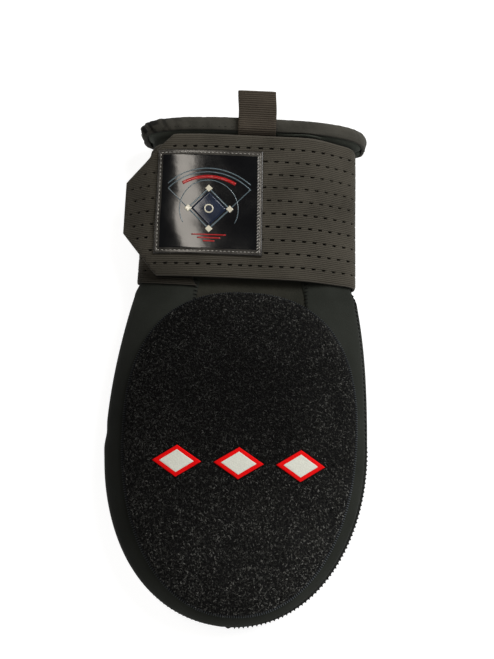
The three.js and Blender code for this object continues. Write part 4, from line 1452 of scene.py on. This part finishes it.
def make_hem():
    profile = hem_profile()
    angles = np.linspace(0, 360, HEM_COLUMNS, endpoint=False)
    station, offset, puff = (profile[:, i][:, None] for i in range(3))
    ring = skin(MOUTH, angles, 0)
    around = np.stack([ring[:, 0], ring[:, 2]], -1)
    run = run_along(around)
    plan = np.stack(np.broadcast_arrays(run[None, :], station * 1.5 + offset), -1)
    crumple = bell(angles - HEM_CRUMPLE_ANGLE, 24)[None, :]
    slant = plan @ np.array([[0.8, 0.2], [-0.6, 0.3]])
    dents = ripples(plan, 10, seed=61) * mix(0.14, 0.4, crumple)
    creases = ripples(slant, 3.4, seed=62)
    dents += creases * mix(0.15, 0.5, crumple)
    outside = offset > -WALL / 2
    groove = -0.4 * bell(station - HEM_FOOT - HEM_GROOVE, 0.5) * outside
    moved = offset + puff * np.where(outside, 1, -1) * (dents + groove)
    on_bag = skin(np.minimum(station, MOUTH), angles[None, :], moved)
    on_bag[..., 1] = station + puff * 0.1 * np.broadcast_to(dents, moved.shape)
    on_bag[..., 2] = np.maximum(on_bag[..., 2], 0)
    shape = on_bag.reshape(-1, 3), tube_faces(len(profile), HEM_COLUMNS, closed=True)
    # Painted shade in the creases and over the crumpled left end of the hem
    painted_shading = bell(angles - HEM_SHADED_ANGLE, 30)[None, :] * mix(0.15, 0.9, soft(0.4 - creases * 1.5))
    attributes = {"painted_shading": np.broadcast_to(painted_shading, moved.shape).ravel()}
    piece = make_piece("cuff_hem", shape, [HEM], "hem", "cuff_binding", attributes=attributes)


HEM_STITCH_COUNT = 150
HEM_STITCH_TURN = 1.4


def make_hem_stitches():
    angles = np.linspace(0, 360, HEM_STITCH_COUNT, endpoint=False)
    station = HEM_FOOT + HEM_GROOVE
    level = GAP + HEM_THICKNESS - 0.32
    starts = skin(station, angles, level)
    ends = skin(station, angles + HEM_STITCH_TURN, level)
    outs = unit(skin(station, angles, 4) - skin(station, angles, 0))
    make_piece("hem_stitches", thread_arcs(starts, ends, outs, 0.17, 0.18), [BLACK_THREAD], "hem")


# Pull tab

def front_top(station, offset=0.0):
    shape = section_at(station, offset)
    return float(shape.limb + shape.above)


# The tab's way up the flare: share of the way from the strap to the hem, and share of the rise
TAB_ON_FLARE = ((0.25, 0.05), (0.55, 0.32), (0.8, 0.68), (1.1, 1.0))
TAB_PAST_HEM_FOOT = 0.8
TAB_ROOT_BEND = 1 / 3
TAB_OPENING = 0.5


def tab_course():
    """The lower face's course: station and height, from the root to the fold."""
    on_strap = front_top(STRAP_TOP) + TAB_GAP
    on_hem = front_top(HEM_FOOT, GAP + HEM_THICKNESS) + 2 * TAB_GAP
    crest = front_top(MOUTH, GAP + HEM_THICKNESS) + 2 * TAB_GAP
    course = []
    for share in (1, TAB_ROOT_BEND):
        station = STRAP_TOP - share * TAB_ROOT_LENGTH
        course.append((station, front_top(station) + TAB_GAP))
    for place, rise in TAB_ON_FLARE:
        course.append((mix(STRAP_TOP, HEM_FOOT, place), mix(on_strap, on_hem, rise)))
    course.append((mix(STRAP_TOP, HEM_FOOT, 1 + TAB_PAST_HEM_FOOT), on_hem + TAB_GAP))
    course.append((MOUTH, crest))
    course.append((MITT_LENGTH + HEM_THICKNESS, crest + TAB_RISE / 2))
    course.append((MITT_LENGTH + TAB_REACH / 2, crest + TAB_RISE))
    course.append((MITT_LENGTH + TAB_REACH - 0.6, crest + TAB_RISE))
    return np.array(course)


def resample(line, step):
    """The same line with points a step apart, its corners rounded."""
    for _ in range(3):
        inner = 0.75 * line[:-1] + 0.25 * line[1:], 0.25 * line[:-1] + 0.75 * line[1:]
        cut = np.stack(inner, 1).reshape(-1, line.shape[1])
        line = np.concatenate([line[:1], cut, line[-1:]])
    run = run_along(line)
    places = np.linspace(0, run[-1], int(run[-1] / step) + 1)
    return np.stack([np.interp(places, run, line[:, i]) for i in range(line.shape[1])], -1)


def beside(line, distance):
    return line + left_of(line) * np.asarray(distance)[..., None]


TAB_RIB_HEIGHT = 0.18
TAB_LEAN = -0.8


def make_tab():
    """One band of webbing: out along the lower ply, round the fold and back along the upper ply."""
    lower = resample(tab_course(), TAB_RIB / 4)
    half = TAB_PLY_THICKNESS / 2
    opening = TAB_OPENING * soft((lower[:, 0] - MITT_LENGTH) / TAB_REACH)
    low_line = beside(lower, half)
    high_line = beside(lower, half + TAB_PLY_THICKNESS + TAB_PLY_GAP + opening)
    centre = (low_line[-1] + high_line[-1]) / 2
    radius = np.linalg.norm(high_line[-1] - low_line[-1]) / 2
    turns = np.radians(np.linspace(-90, 90, 11)[1:-1])
    fold = np.stack([centre[0] + radius * np.cos(turns), centre[1] + radius * np.sin(turns)], -1)
    line = resample(np.concatenate([low_line, fold, high_line[::-1]]), TAB_RIB / 4)
    run = np.arange(len(line)) * TAB_RIB / 4
    across = np.linspace(-1, 1, 43)
    ribs = np.array([0.5, 1.0, 0.5, 0.0])[np.arange(len(line)) % 4] * TAB_RIB_HEIGHT
    edge = 0.25 * np.abs(across) ** 14
    normal = left_of(line)[:, None, :]
    grids = []
    for side in (1, -1):
        offset = side * (half - TAB_RIB_HEIGHT + ribs[:, None] - edge[None, :])
        place = line[:, None, :] + normal * offset[..., None]
        lean = TAB_LEAN * soft((place[..., 0] - MITT_LENGTH) / TAB_REACH)
        x = TAB_CENTRE_X + lean + across[None, :] * TAB_WIDTH / 2
        grids.append(np.stack([x, place[..., 0], place[..., 1]], -1))
    width, length = np.broadcast_arrays(across[None, :] * TAB_WIDTH / 2, run[:, None])
    cloth = np.stack([width, length, TAB_WIDTH / 2 - np.abs(width)], -1).reshape(-1, 3)
    make_piece("tab_webbing", solid_between(*grids), [WEBBING], "webbing", "pull_tab",
               attributes={"cloth": twice(cloth)})


swell[:, :-1] = simulate_swell()
swell[:, -1] = swell[:, 0]

make_front_shell()
make_back_shell()
make_gusset()
make_patch_pad()
for number in range(1, LOOP_PIECES + 1):
    make_loops(number)
for place in range(DIAMOND_COUNT):
    make_diamond(place)
make_strap()
make_hook_tape()
make_badge()
make_badge_print()
make_patch_stitches()
make_seam_stitches()
make_badge_stitches()
make_gusset_stitches()
make_hem()
make_hem_stitches()
make_tab()


# Floor, lights and camera

FLOOR_SIZE = 6.0
FLOOR_DROP = 0.0002
FLOOR_GREY = 0.3
FLOOR_GLOW = 0.88
WORLD_LIGHT = 0.11

floor_mesh = bpy.data.meshes.new("floor")
floor_corners = [(x * FLOOR_SIZE / 2, y * FLOOR_SIZE / 2, 0) for x, y in ((-1, -1), (1, -1), (1, 1), (-1, 1))]
floor_mesh.from_pydata(floor_corners, [], [(0, 1, 2, 3)])
floor = bpy.data.objects.new("floor", floor_mesh)
bpy.context.scene.collection.objects.link(floor)
floor_material, floor_tree, floor_surface = new_material("floor_paper", 0.9)
floor_surface.inputs["Base Color"].default_value = (FLOOR_GREY, FLOOR_GREY, FLOOR_GREY, 1)
floor_surface.inputs["Emission Color"].default_value = (1, 1, 1, 1)
floor_surface.inputs["Emission Strength"].default_value = FLOOR_GLOW
floor_mesh.materials.append(floor_material)
floor.location.z = -FLOOR_DROP

world = bpy.data.worlds.new("studio")
bpy.context.scene.world = world
world.use_nodes = True
world.node_tree.nodes["Background"].inputs["Color"].default_value = (1, 1, 1, 1)
world.node_tree.nodes["Background"].inputs["Strength"].default_value = WORLD_LIGHT


def area_light(name, place, target, size, power, turn=0.0, colour=(1, 1, 1)):
    light = bpy.data.lights.new(name, "AREA")
    light.shape = "RECTANGLE"
    light.size, light.size_y = size
    light.energy = power
    light.color = colour
    lamp = bpy.data.objects.new(name, light)
    lamp.location = place
    lamp.rotation_mode = "QUATERNION"
    facing = (Vector(target) - Vector(place)).to_track_quat("-Z", "Y")
    lamp.rotation_quaternion = facing @ Quaternion((0, 0, 1), math.radians(turn))
    bpy.context.scene.collection.objects.link(lamp)
    return lamp


area_light("key", (0.95, 0.8, 1.15), (0, 0, 0), (0.9, 0.9), 27)
area_light("fill", (0.5, -1.1, 1.1), (0, 0, 0), (1.0, 0.8), 4)
area_light("strip", (-0.31, 0.28, 1.15), (-0.03, 0.07, 0.04), (0.19, 0.6), 2.9, -26, (1, 0.93, 0.84))

# The camera looks down from near the fingertips, rolled a little
FOCAL_PIXELS = 850
FRAME_HEIGHT_PIXELS = 659
SENSOR = 36
ELEVATION = 78
ROLL = 2.5
TARGET = Vector((0.003, 0.01295, 0.020))
DISTANCE = 0.457

lens = bpy.data.cameras.new("camera")
lens.sensor_width = SENSOR
lens.lens = SENSOR * FOCAL_PIXELS / FRAME_HEIGHT_PIXELS
lens.clip_start = 0.01
camera = bpy.data.objects.new("camera", lens)
back = Vector((0, -math.cos(math.radians(ELEVATION)), math.sin(math.radians(ELEVATION))))
camera.location = TARGET + back * DISTANCE
camera.rotation_mode = "QUATERNION"
camera.rotation_quaternion = (-back).to_track_quat("-Z", "Y") @ Quaternion((0, 0, 1), math.radians(ROLL))
bpy.context.scene.collection.objects.link(camera)
bpy.context.scene.camera = camera
bpy.context.scene.view_settings.view_transform = "Standard"
